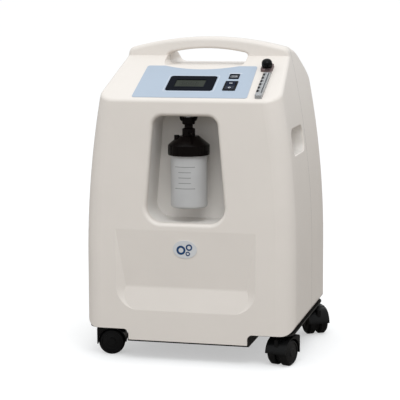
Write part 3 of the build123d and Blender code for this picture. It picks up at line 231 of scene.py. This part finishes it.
def tint(tree, bsdf, factor, colour, darker, lighter):
    """Base colour that drifts about one colour."""
    low = [min(1.0, c * darker) for c in colour]
    high = [min(1.0, c * lighter) for c in colour]
    tree.links.new(ramp(tree, factor, low, high), bsdf.inputs["Base Color"])


def plastic(
    name, colour, rough=0.4, mottle=0.03, grain=900.0, depth=0.00004, coat=0.0, strength=0.5, shine=0.5
):
    """Moulded plastic: faint colour drift, uneven gloss and a fine spark-eroded grain."""
    material, tree, bsdf = shader(name)
    tint(tree, bsdf, noise(tree, 14.0), colour, 1 - mottle, 1 + mottle)
    tree.links.new(grey(tree, noise(tree, 60.0), rough - 0.05, rough + 0.06), bsdf.inputs["Roughness"])
    bump(tree, bsdf, noise(tree, grain, detail=2.0), strength, depth)
    bsdf.inputs["IOR"].default_value = 1.48
    bsdf.inputs["Specular IOR Level"].default_value = shine
    bsdf.inputs["Coat Weight"].default_value = coat
    bsdf.inputs["Coat Roughness"].default_value = 0.12
    return material


def metal(name, colour, rough=0.3, brushed=0.0, depth=0.00003):
    """Metal with streaks or a cast skin."""
    material, tree, bsdf = shader(name)
    bsdf.inputs["Metallic"].default_value = 1.0
    vector = position(tree)
    if brushed:
        stretch = tree.nodes.new("ShaderNodeMapping")
        stretch.inputs["Scale"].default_value = (1.0, 1.0, brushed)
        tree.links.new(vector, stretch.inputs["Vector"])
        vector = stretch.outputs["Vector"]
    streak = noise(tree, 300.0, vector=vector)
    tint(tree, bsdf, streak, colour, 0.9, 1.06)
    tree.links.new(grey(tree, streak, rough - 0.06, rough + 0.1), bsdf.inputs["Roughness"])
    bump(tree, bsdf, streak, 0.4, depth)
    return material


def casing_plastic():
    """Off-white shell plastic; a fine shadow line marks where the two shells meet."""
    material = plastic(
        "shell_plastic", (0.752, 0.702, 0.652), rough=0.42, mottle=0.012, grain=1400.0, depth=0.00003
    )
    tree = material.node_tree
    bsdf = tree.nodes["Principled BSDF"]
    base = bsdf.inputs["Base Color"].links[0].from_socket
    split = tree.nodes.new("ShaderNodeSeparateXYZ")
    tree.links.new(position(tree), split.inputs["Vector"])
    gap = tree.nodes.new("ShaderNodeMath")
    gap.operation = "COMPARE"
    gap.inputs[1].default_value = SEAM_Y * MM
    gap.inputs[2].default_value = SEAM_HALF_WIDTH * MM
    tree.links.new(split.outputs["Y"], gap.inputs[0])
    shade = tree.nodes.new("ShaderNodeMix")
    shade.data_type = "RGBA"
    shade.inputs["B"].default_value = (0.20, 0.19, 0.18, 1.0)
    tree.links.new(gap.outputs["Value"], shade.inputs["Factor"])
    tree.links.new(base, shade.inputs["A"])
    tree.links.new(shade.outputs["Result"], bsdf.inputs["Base Color"])
    return material


def clear_plastic(name, colour, rough, transmission):
    """Clear or frosted plastic, partly see-through."""
    material, tree, bsdf = shader(name)
    tint(tree, bsdf, noise(tree, 30.0), colour, 0.97, 1.02)
    tree.links.new(grey(tree, noise(tree, 120.0), rough, rough + 0.05), bsdf.inputs["Roughness"])
    bsdf.inputs["Transmission Weight"].default_value = transmission
    bsdf.inputs["IOR"].default_value = 1.46
    bump(tree, bsdf, noise(tree, 500.0), 0.2, 0.00003)
    return material


def foam_material():
    """Dark open-cell foam."""
    material, tree, bsdf = shader("open_foam")
    cells = tree.nodes.new("ShaderNodeTexVoronoi")
    cells.inputs["Scale"].default_value = 700.0
    tree.links.new(position(tree), cells.inputs["Vector"])
    colour = ramp(tree, cells.outputs["Distance"], (0.012, 0.013, 0.014), (0.05, 0.052, 0.056), 0.2, 0.8)
    tree.links.new(colour, bsdf.inputs["Base Color"])
    bsdf.inputs["Roughness"].default_value = 0.95
    bump(tree, bsdf, cells.outputs["Distance"], 0.9, 0.0006)
    return material


SHELL = casing_plastic()
# the shell plastic made lighter for the niche and the grip pockets: painted light that brightens these
# recesses
LINER_PAINTED_LIGHT = plastic(
    "liner_plastic_painted_light", (0.785, 0.755, 0.72),
    rough=0.4, mottle=0.015, grain=1200.0, depth=0.00003,
)
OVERLAY = plastic(
    "overlay_film", (0.385, 0.455, 0.545),
    rough=0.4, mottle=0.015, grain=2500.0, depth=0.00002,
)
BLACK = plastic(
    "black_gloss_plastic", (0.004, 0.004, 0.005),
    rough=0.18, mottle=0.1, grain=700.0, depth=0.00002, shine=0.06,
)
KNOB_BLACK = plastic(
    "knob_plastic", (0.003, 0.003, 0.0035),
    rough=0.14, mottle=0.1, grain=700.0, depth=0.00001, shine=0.12,
)
BEZEL = plastic(
    "display_surround", (0.004, 0.005, 0.009),
    rough=0.2, mottle=0.1, grain=900.0, depth=0.00001, shine=0.015,
)
LCD = plastic(
    "display_window", (0.020, 0.024, 0.017),
    rough=0.16, mottle=0.05, grain=400.0, depth=0.00001, shine=0.1,
)
INK_DARK = plastic("display_segments", (0.004, 0.005, 0.004), rough=0.3, mottle=0.05, shine=0.1)
NAVY = plastic("rocker_plastic", (0.006, 0.010, 0.024), rough=0.22, mottle=0.08, shine=0.12)
WHITE_INK = plastic("white_print", (0.72, 0.74, 0.77), rough=0.45, mottle=0.02)
BLUE_INK = plastic("blue_print", (0.014, 0.055, 0.15), rough=0.4, mottle=0.03, shine=0.3)
FROST_INK = plastic("frosted_print", (0.27, 0.27, 0.27), rough=0.6, mottle=0.03, shine=0.2)
BLACK_INK = plastic("black_print", (0.006, 0.006, 0.007), rough=0.45, mottle=0.03, shine=0.15)
GREY_INK = plastic("grey_print", (0.10, 0.105, 0.11), rough=0.5, mottle=0.04, shine=0.2)
LID = plastic(
    "lid_plastic", (0.0032, 0.0022, 0.0020),
    rough=0.17, mottle=0.15, grain=600.0, depth=0.00003, shine=0.11,
)
RED = plastic("red_plastic", (0.42, 0.02, 0.015), rough=0.3, mottle=0.04, coat=0.3)
CASTER = plastic(
    "caster_nylon", (0.0045, 0.0045, 0.0048),
    rough=0.32, mottle=0.12, grain=900.0, depth=0.00006, shine=0.16,
)
TYRE = plastic(
    "tyre_rubber", (0.0055, 0.0055, 0.0058),
    rough=0.42, mottle=0.15, grain=500.0, depth=0.0001, strength=0.8, shine=0.16,
)
RUBBER = plastic("soft_rubber", (0.018, 0.018, 0.018), rough=0.6, mottle=0.12, grain=500.0, depth=0.0001)
METER = clear_plastic("meter_acrylic", (0.56, 0.57, 0.58), 0.12, 0.45)
JAR = clear_plastic("jar_polycarbonate", (0.66, 0.66, 0.66), 0.42, 0.30)
TUBE = clear_plastic("tube_plastic", (0.80, 0.80, 0.78), 0.35, 0.25)
STEEL = metal("bright_steel", (0.62, 0.62, 0.63), rough=0.25, brushed=12.0)
CAST = metal("cast_aluminium", (0.56, 0.57, 0.58), rough=0.5, depth=0.0002)
BRONZE = metal("valve_bronze", (0.19, 0.14, 0.14), rough=0.4, brushed=6.0)
PAN = plastic(
    "powder_coat", (0.016, 0.0145, 0.013),
    rough=0.5, mottle=0.08, grain=1000.0, depth=0.0001, shine=0.2,
)
FAN = plastic("fan_plastic", (0.016, 0.016, 0.018), rough=0.45, mottle=0.1)
BOARD = plastic("circuit_board", (0.012, 0.085, 0.04), rough=0.4, mottle=0.2, grain=250.0, depth=0.0001)
HOSE = plastic("gas_hose_rubber", (0.03, 0.03, 0.032), rough=0.5, mottle=0.1)
BADGE_FACE = plastic("badge_face", (0.63, 0.64, 0.655), rough=0.4, mottle=0.02)
PLATE = plastic("plate_foil", (0.60, 0.61, 0.62), rough=0.35, mottle=0.02)
FOAM = foam_material()

CAD_MATERIALS = {
    "front_casing": SHELL, "rear_casing": SHELL, "intake_door": SHELL, "niche_liner": LINER_PAINTED_LIGHT,
    "grip_pocket_left": LINER_PAINTED_LIGHT, "grip_pocket_right": LINER_PAINTED_LIGHT, "control_overlay": OVERLAY, "lcd_bezel": BEZEL,
    "lcd_module": LCD, "hour_meter": BEZEL, "switch_frame": BLACK, "switch_rocker": NAVY,
    "flowmeter_body": METER, "flowmeter_float": STEEL, "flow_valve": BRONZE, "flow_valve_stem": STEEL,
    "flow_knob": BLACK, "front_badge": BADGE_FACE, "outlet_fitting": STEEL, "humidifier_lid": LID,
    "relief_valve": LID, "wing_nut": LID, "lid_gasket": RUBBER, "humidifier_jar": JAR, "dip_tube": TUBE,
    "base_pan": PAN, "caster_sockets": CASTER, "intake_filter": FOAM, "power_inlet": BLACK,
    "breaker_button": RED, "rating_plate": PLATE, "casing_screws": STEEL, "compressor_body": CAST,
    "compressor_heads": CAST, "compressor_shaft": STEEL, "compressor_mounts": RUBBER, "fan_deck": CAST,
    "fan_frame": FAN, "fan_rotor": FAN, "sieve_beds": CAST, "product_tank": TUBE, "valve_block": CAST,
    "control_board": BOARD, "gas_hoses": HOSE,
}
for corner in CASTER_HEADINGS:
    CAD_MATERIALS[f"caster_hood_{corner}"] = CASTER
    CAD_MATERIALS[f"caster_axle_{corner}"] = STEEL
    CAD_MATERIALS[f"caster_wheel_{corner}_a"] = TYRE
    CAD_MATERIALS[f"caster_wheel_{corner}_b"] = TYRE
for node_name, node in NODES.items():
    node.data.materials.clear()
    node.data.materials.append(CAD_MATERIALS[node_name])

# ---- display: segments, indicators and the rim of its window -----------------------------
# centre and size of each bar of a digit
SEGMENTS = {
    "a": (0, 6, 5, 1), "b": (3, 3, 1, 5), "c": (3, -3, 1, 5), "d": (0, -6, 5, 1),
    "e": (-3, -3, 1, 5), "f": (-3, 3, 1, 5), "g": (0, 0, 5, 1),
}
DIGIT_SEGMENTS = {0: "abcdef", 5: "afgcd"}


def add_digit(bm, value, x, y, size):
    """A digit made of raised bars."""
    for key in DIGIT_SEGMENTS[value]:
        cx, cy, w, h = SEGMENTS[key]
        outline = rounded_outline(w * size, h * size, 0.3 * size, 2)
        add_prism(bm, outline, SCREEN_LOW, SCREEN_HIGH, (x + cx * size, y + cy * size))


digits = bmesh.new()
for digit_x, value in ((-15, 0), (-7, 0), (1, 5), (11, 0)):
    add_digit(digits, value, LCD_X + digit_x, LCD_S + 1, 0.8)
add_prism(digits, circle(0.7, 12), SCREEN_LOW, SCREEN_HIGH, (LCD_X + 6.4, LCD_S - 4))
for step in range(8):
    indicator = (LCD_X - 19 + 5 * step, LCD_S - 10)
    add_prism(digits, rounded_outline(3.2, 1.6, 0.3, 2), SCREEN_LOW, SCREEN_HIGH - 0.02, indicator)
new_piece("display_digits", digits, SLOPE, INK_DARK, "chassis")

window = bmesh.new()
rim_outer = rounded_outline(LCD_W + 3, LCD_H + 3, 2.4)
rim_inner = rounded_outline(LCD_W - 3, LCD_H - 3, 1.2)
add_ring(window, rim_outer, rim_inner, 0.5, 1.75, (LCD_X, LCD_S))
new_piece("display_window_rim", window, SLOPE, BEZEL, "chassis")

counter = bmesh.new()
drum_outer = rounded_outline(2.5, 6.4, 0.3, 2)
drum_inner = rounded_outline(1.9, 5.8, 0.2, 2)
for column in range(-2, 3):
    add_ring(counter, drum_outer, drum_inner, 0.9, 1.25, (METER_X + 2.7 * column, METER_S))
new_piece("meter_drums", counter, SLOPE, WHITE_INK, "chassis")

# ---- printed lines on the overlay --------------------------------------------------------
print_lines = bmesh.new()
line_outer = rounded_outline(97, 63, 4)
line_inner = rounded_outline(95.8, 61.8, 3.4)
add_ring(print_lines, line_outer, line_inner, FILM_LOW, FILM_HIGH, (-5, LCD_S))
add_prism(print_lines, rounded_outline(26, 1.2, 0.5, 2), FILM_LOW, FILM_HIGH, (METER_X, 104))
new_piece("overlay_print", print_lines, SLOPE, WHITE_INK, "chassis")

# ---- power switch marks: a bar and a ring on the two halves of the rocker ----------------
MARK_OFFSET, MARK_LOW, MARK_HEIGHT = 7.2, 5.55, 0.16
rest_angle = SLOPE_ANGLE + math.radians(6.0)
rocker_origin = SLOPE @ Vector((SWITCH_X * MM, SWITCH_S * MM, ROCKER_N * MM))
ROCKER = plane(rocker_origin / MM, (1, 0, 0), (0, math.cos(rest_angle), math.sin(rest_angle)))
tilt = math.atan2(2.0, ROCKER_R + 1)     # each half of the rocker falls away from its middle
marks = bmesh.new()
upper = bmesh.new()
add_prism(upper, rounded_outline(6.5, 1.3, 0.5, 2), 0.0, MARK_HEIGHT)
lower = bmesh.new()
add_ring(lower, circle(2.4, 28), circle(1.5, 28), 0.0, MARK_HEIGHT)
for mark, side in ((upper, 1), (lower, -1)):
    seat = Matrix.Translation((0, side * MARK_OFFSET, MARK_LOW)) @ Matrix.Rotation(side * tilt, 4, "X")
    bmesh.ops.transform(mark, matrix=seat, verts=mark.verts)
    merge(marks, mark)
new_piece("rocker_marks", marks, ROCKER, WHITE_INK, "switch_rocker")

# ---- flow meter: scale, grey edge strip and end caps -------------------------------------
FACE_N = 7.0             # top face of the meter body above the slope
CAP_LOW = 4.6            # the end caps stay above the path of the float
SCALE_LOW, SCALE_PITCH, SCALE_STEPS = FLOW_LOW + 17.0, 12.6, 6
INK_LOW, INK_HIGH = FACE_N - 0.02, FACE_N + 0.06
scale_marks = bmesh.new()
for step in range(SCALE_STEPS):
    mark_s = SCALE_LOW + SCALE_PITCH * step
    add_prism(scale_marks, rounded_outline(4.2, 9.0, 0.6, 2), INK_LOW, INK_HIGH, (FLOW_X - 3.8, mark_s))
    for tick in (-0.14, 0.14):
        tick_at = (FLOW_X - 0.4, mark_s + SCALE_PITCH * tick)
        add_prism(scale_marks, rounded_outline(2.4, 0.9, 0.3, 2), INK_LOW, INK_HIGH, tick_at)
new_piece("flow_scale", scale_marks, SLOPE, BLACK_INK, "chassis")
# a grey strip along the right edge of the meter's top face
edge_strip = bmesh.new()
strip_outline = rounded_outline(2.4, FLOW_HIGH - FLOW_LOW - 24, 0.5, 2)
strip_at = (FLOW_X + 4.2, (FLOW_LOW + FLOW_HIGH) / 2 - 3)
add_prism(edge_strip, strip_outline, INK_LOW, INK_HIGH - 0.01, strip_at)
new_piece("flow_edge_strip", edge_strip, SLOPE, GREY_INK, "chassis")
for cap_name, cap_s, cap_length, cap_material in (
    ("flow_meter_foot", FLOW_LOW + 4.0, 7.0, METER),
    ("flow_meter_head", FLOW_HIGH - 7.5, 14.0, BRONZE),
):
    cap = bmesh.new()
    cap_outline = rounded_outline(13.2, cap_length, 2.6)
    add_prism(cap, cap_outline, CAP_LOW, FACE_N + 0.3, (FLOW_X, cap_s), chamfer=1.2)
    new_piece(cap_name, cap, SLOPE, cap_material, "chassis")

# ---- knob: a fluted skirt under a smooth domed cap, with a pointer line ------------------
# radius and height of the knob's outline, from the middle of its foot to the middle of its top
KNOB_PROFILE = [
    (0.01, KNOB_LOW), (9.3, KNOB_LOW), (9.9, KNOB_LOW + 0.7), (KNOB_R, KNOB_LOW + 2.0),
    (KNOB_R, KNOB_LOW + 5.2), (9.75, KNOB_LOW + 7.0), (9.2, KNOB_LOW + 8.7), (8.2, KNOB_LOW + 10.3),
    (6.7, KNOB_LOW + 11.6), (4.7, KNOB_LOW + 12.5), (2.4, KNOB_TOP - 0.1), (0.01, KNOB_TOP),
]
FLUTES, FLUTE_DEPTH, FLUTE_FROM, FLUTE_TOP = 24, 0.55, 9.0, KNOB_LOW + 6.2
knob = bmesh.new()
add_lathe(knob, KNOB_PROFILE, steps=FLUTES * 6)
for vertex in knob.verts:
    radius = math.hypot(vertex.co.x, vertex.co.y)
    if radius > FLUTE_FROM and vertex.co.z < FLUTE_TOP:
        turn = math.atan2(vertex.co.y, vertex.co.x)
        shrink = 1 - FLUTE_DEPTH / KNOB_R * (0.5 + 0.5 * math.cos(FLUTES * turn))
        vertex.co.x *= shrink
        vertex.co.y *= shrink
bmesh.ops.translate(knob, vec=(KNOB_X, KNOB_S, 0), verts=knob.verts)
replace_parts(new_piece("domed_knob", knob, SLOPE, KNOB_BLACK, "flow_control"), "flow_knob")
pointer = bmesh.new()
pointer_outline = rounded_outline(0.9, 4.0, 0.4, 3)
add_prism(pointer, pointer_outline, KNOB_TOP - 1.6, KNOB_TOP - 0.25, (KNOB_X, KNOB_S + 2.6))
new_piece("knob_pointer", pointer, SLOPE, GREY_INK, "flow_control")

# ---- badge: three bubbles on a plain oval ------------------------------------------------
badge_low, badge_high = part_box("front_badge")
badge_centre = (Vector(badge_low) + Vector(badge_high)) / 2 / MM
BADGE_THICK = 0.0009     # in metres; the rest of the box's depth is the lean of the front
badge_lean = badge_high[1] - badge_low[1] - BADGE_THICK
BADGE = plane(badge_centre, (1, 0, 0), (0, -badge_lean, badge_high[2] - badge_low[2]))
bubbles = bmesh.new()
for radius, offset in ((8.6, (-7.5, -1.5)), (6.2, (8.0, 4.0)), (4.2, (5.4, -8.0))):
    add_ring(bubbles, circle(radius, 44), circle(radius * 0.55, 44), 0.25, 0.72, offset)
new_piece("badge_bubbles", bubbles, BADGE, BLUE_INK, "chassis")

# ---- jar: raised level marks -------------------------------------------------------------
BOTTLE = plane((BOTTLE_X, BOTTLE_Y, JAR_LOW_Z), (1, 0, 0), (0, 1, 0))
# each mark is an arc on the front of the jar: its height and its length
LEVEL_MARKS = ((38.0, 40.0), (48.0, 24.0), (58.0, 24.0), (68.0, 24.0), (78.0, 40.0))
LEVEL_STEPS = 10
LEVEL_SECTION = ((JAR_R - 0.05, -0.5), (JAR_R + 0.16, -0.5), (JAR_R + 0.16, 0.5), (JAR_R - 0.05, 0.5))
level = bmesh.new()
for height, length in LEVEL_MARKS:
    half_arc = length / JAR_R / 2
    sections = []
    for step in range(LEVEL_STEPS + 1):
        turn = -math.pi / 2 + half_arc * (2 * step / LEVEL_STEPS - 1)
        across, forward = math.cos(turn), math.sin(turn)
        section = [level.verts.new((r * across, r * forward, height + rise)) for r, rise in LEVEL_SECTION]
        sections.append(section)
    for here, there in zip(sections, sections[1:]):
        for i in range(4):
            j = (i + 1) % 4
            level.faces.new((here[i], there[i], there[j], here[j]))
    level.faces.new(sections[0])
    level.faces.new(list(reversed(sections[-1])))
new_piece("jar_level_marks", level, BOTTLE, FROST_INK, "humidifier_jar")

# ---- rear: foam behind the exhaust louvres, blank fields of the rating plate -------------
FOAM_LOW, FOAM_HIGH = -4.4, -2.98        # against the inner face of the wall
exhaust_foam = bmesh.new()
add_prism(exhaust_foam, rounded_outline(124, 88, 4), FOAM_LOW, FOAM_HIGH, (-EXHAUST_X, EXHAUST_Z))
new_piece("exhaust_foam", exhaust_foam, BACK, FOAM, "chassis")
FIELD_HIGH = 0.66
fields = bmesh.new()
for row in range(5):
    row_outline = rounded_outline(50 - 6 * (row % 2), 1.6, 0.6, 2)
    add_prism(fields, row_outline, SCREEN_LOW, FIELD_HIGH, (PLATE_X - 12, PLATE_Z + 14 - 7 * row))
for width, height, radius, offset in ((84, 49, 2.0, (0, 0)), (16, 16, 1.0, (28, -8))):
    outer = rounded_outline(width, height, radius)
    inner = rounded_outline(width - 1, height - 1, radius * 0.8)
    add_ring(fields, outer, inner, SCREEN_LOW, FIELD_HIGH, (PLATE_X + offset[0], PLATE_Z + offset[1]))
new_piece("plate_fields", fields, BACK, BLACK_INK, "chassis")

# ---- casters: a cap with five ribs on the outer face of each wheel -----------------------
HUB_PROFILE = [(0.01, 0.55), (3.5, 0.5), (5.4, 0.2), (6.3, -0.4), (6.3, -1.2), (0.01, -1.2)]
HUB_OUT, RIBS, RIB_R = 8.5, 5, 12.2
DOWN = Vector((0, 0, -1))
for corner, heading in CASTER_HEADINGS.items():
    turn = math.radians(heading)
    across = Vector((math.sin(turn), -math.cos(turn), 0))
    for side, word in ((1, "a"), (-1, "b")):
        low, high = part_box(f"caster_wheel_{corner}_{word}")
        centre = (Vector(low) + Vector(high)) / 2 / MM
        outward = across * side
        face = plane(centre + outward * HUB_OUT, DOWN.cross(outward), DOWN)
        cap = bmesh.new()
        add_lathe(cap, HUB_PROFILE, 40)
        for spoke in range(RIBS):
            rib = bmesh.new()
            add_prism(rib, rounded_outline(2.6, 7.0, 0.8, 3), -2.0, -0.75, (0, RIB_R))
            spin = Matrix.Rotation(2 * math.pi * spoke / RIBS, 3, "Z")
            bmesh.ops.rotate(rib, cent=(0, 0, 0), matrix=spin, verts=rib.verts)
            merge(cap, rib)
        new_piece(f"hub_cap_{corner}_{word}", cap, face, CASTER, f"wheel_{corner}_{word}")

# ---- floor, light and camera -------------------------------------------------------------
def two_faced(tree, other_rays, camera_rays):
    """One shader for what the camera sees and another for every other ray."""
    rays = tree.nodes.new("ShaderNodeLightPath")
    choice = tree.nodes.new("ShaderNodeMixShader")
    tree.links.new(rays.outputs["Is Camera Ray"], choice.inputs["Fac"])
    tree.links.new(other_rays, choice.inputs[1])
    tree.links.new(camera_rays, choice.inputs[2])
    return choice.outputs["Shader"]


FLOOR_REACH = 150.0      # in metres, so that its edge is never in sight
floor_mesh = bmesh.new()
for x, y in ((-1, -1), (1, -1), (1, 1), (-1, 1)):
    floor_mesh.verts.new((x * FLOOR_REACH, y * FLOOR_REACH, 0.0))
floor_mesh.faces.new(floor_mesh.verts)
floor_data = bpy.data.meshes.new("studio_floor")
floor_mesh.to_mesh(floor_data)
floor_mesh.free()
floor = bpy.data.objects.new("studio_floor", floor_data)
bpy.context.scene.collection.objects.link(floor)
floor_material, floor_tree, floor_bsdf = shader("pale_floor")
floor_colour = ramp(floor_tree, noise(floor_tree, 1.5), (0.575, 0.575, 0.575), (0.585, 0.585, 0.585))
floor_tree.links.new(floor_colour, floor_bsdf.inputs["Base Color"])
floor_bsdf.inputs["Roughness"].default_value = 0.9
floor_bsdf.inputs["Specular IOR Level"].default_value = 0.0
floor_bsdf.inputs["Emission Color"].default_value = (1.0, 1.0, 1.0, 1.0)
floor_bsdf.inputs["Emission Strength"].default_value = 0.46
# what the floor sends back onto the object is kept below what the camera sees of it
bounce = floor_tree.nodes.new("ShaderNodeBsdfDiffuse")
bounce.inputs["Color"].default_value = (0.29, 0.265, 0.24, 1.0)
floor_shader = two_faced(floor_tree, bounce.outputs["BSDF"], floor_bsdf.outputs["BSDF"])
# seen from underneath, the floor lets the underside of the object show
underside = floor_tree.nodes.new("ShaderNodeNewGeometry")
glass_floor = floor_tree.nodes.new("ShaderNodeBsdfTransparent")
see_through = floor_tree.nodes.new("ShaderNodeMixShader")
floor_tree.links.new(underside.outputs["Backfacing"], see_through.inputs["Fac"])
floor_tree.links.new(floor_shader, see_through.inputs[1])
floor_tree.links.new(glass_floor.outputs["BSDF"], see_through.inputs[2])
floor_tree.links.new(see_through.outputs["Shader"], floor_tree.nodes["Material Output"].inputs["Surface"])
floor_data.materials.append(floor_material)


def direction(azimuth, elevation):
    """Unit vector from the object outwards; azimuth runs from the front towards the right."""
    level = math.cos(elevation)
    return Vector((math.sin(azimuth) * level, -math.cos(azimuth) * level, math.sin(elevation)))


def area_light(name, azimuth, elevation, distance, size, power, colour):
    """A soft rectangular light aimed at the middle of the object."""
    data = bpy.data.lights.new(name, "AREA")
    data.shape = "RECTANGLE"
    data.size, data.size_y = size
    data.energy = power
    data.color = colour
    aim = Vector((0, 0, 0.3))
    place = aim + distance * direction(math.radians(azimuth), math.radians(elevation))
    lamp = bpy.data.objects.new(name, data)
    lamp.location = place
    lamp.rotation_euler = (aim - place).to_track_quat("-Z", "Y").to_euler()
    bpy.context.scene.collection.objects.link(lamp)


area_light(
    "key_softbox", azimuth=18.0, elevation=52.0, distance=3.4, size=(1.6, 1.4), power=40.0,
    colour=(0.96, 0.985, 1.0),
)

# the object is lit by a slightly cool sky, and the camera sees plain white behind it
world = bpy.data.worlds.new("studio")
world.use_nodes = True
sky_tree = world.node_tree
sky = sky_tree.nodes["Background"]
sky.inputs["Color"].default_value = (0.965, 0.985, 1.0, 1.0)
sky.inputs["Strength"].default_value = 0.97
backdrop = sky_tree.nodes.new("ShaderNodeBackground")
backdrop.inputs["Color"].default_value = (1.0, 1.0, 1.0, 1.0)
sky_shader = two_faced(sky_tree, sky.outputs["Background"], backdrop.outputs["Background"])
sky_tree.links.new(sky_shader, sky_tree.nodes["World Output"].inputs["Surface"])
bpy.context.scene.world = world

# the camera looks down a little on the front and the right side; lengths in metres
azimuth, elevation, roll = math.radians(14.41), math.radians(8.45), math.radians(-0.39)
distance, side_step, target_height = 2.88575, -0.01846, 0.28259
sensor_width, focal_ratio = 36.0, 1477.39 / 400.0
back = direction(azimuth, elevation)
right = Vector((math.cos(azimuth), math.sin(azimuth), 0.0))
up = back.cross(right)
camera_right = right * math.cos(roll) + up * math.sin(roll)
camera_up = up * math.cos(roll) - right * math.sin(roll)
camera_data = bpy.data.cameras.new("camera")
camera_data.sensor_width = sensor_width
camera_data.lens = focal_ratio * sensor_width
camera_data.clip_end = 500.0
camera = bpy.data.objects.new("camera", camera_data)
camera_place = Vector((0, 0, target_height)) + back * distance + right * side_step
camera_turn = Matrix((camera_right, camera_up, back)).transposed().to_4x4()
camera.matrix_world = Matrix.Translation(camera_place) @ camera_turn
bpy.context.scene.collection.objects.link(camera)
bpy.context.scene.camera = camera
bpy.context.scene.view_settings.view_transform = "Standard"
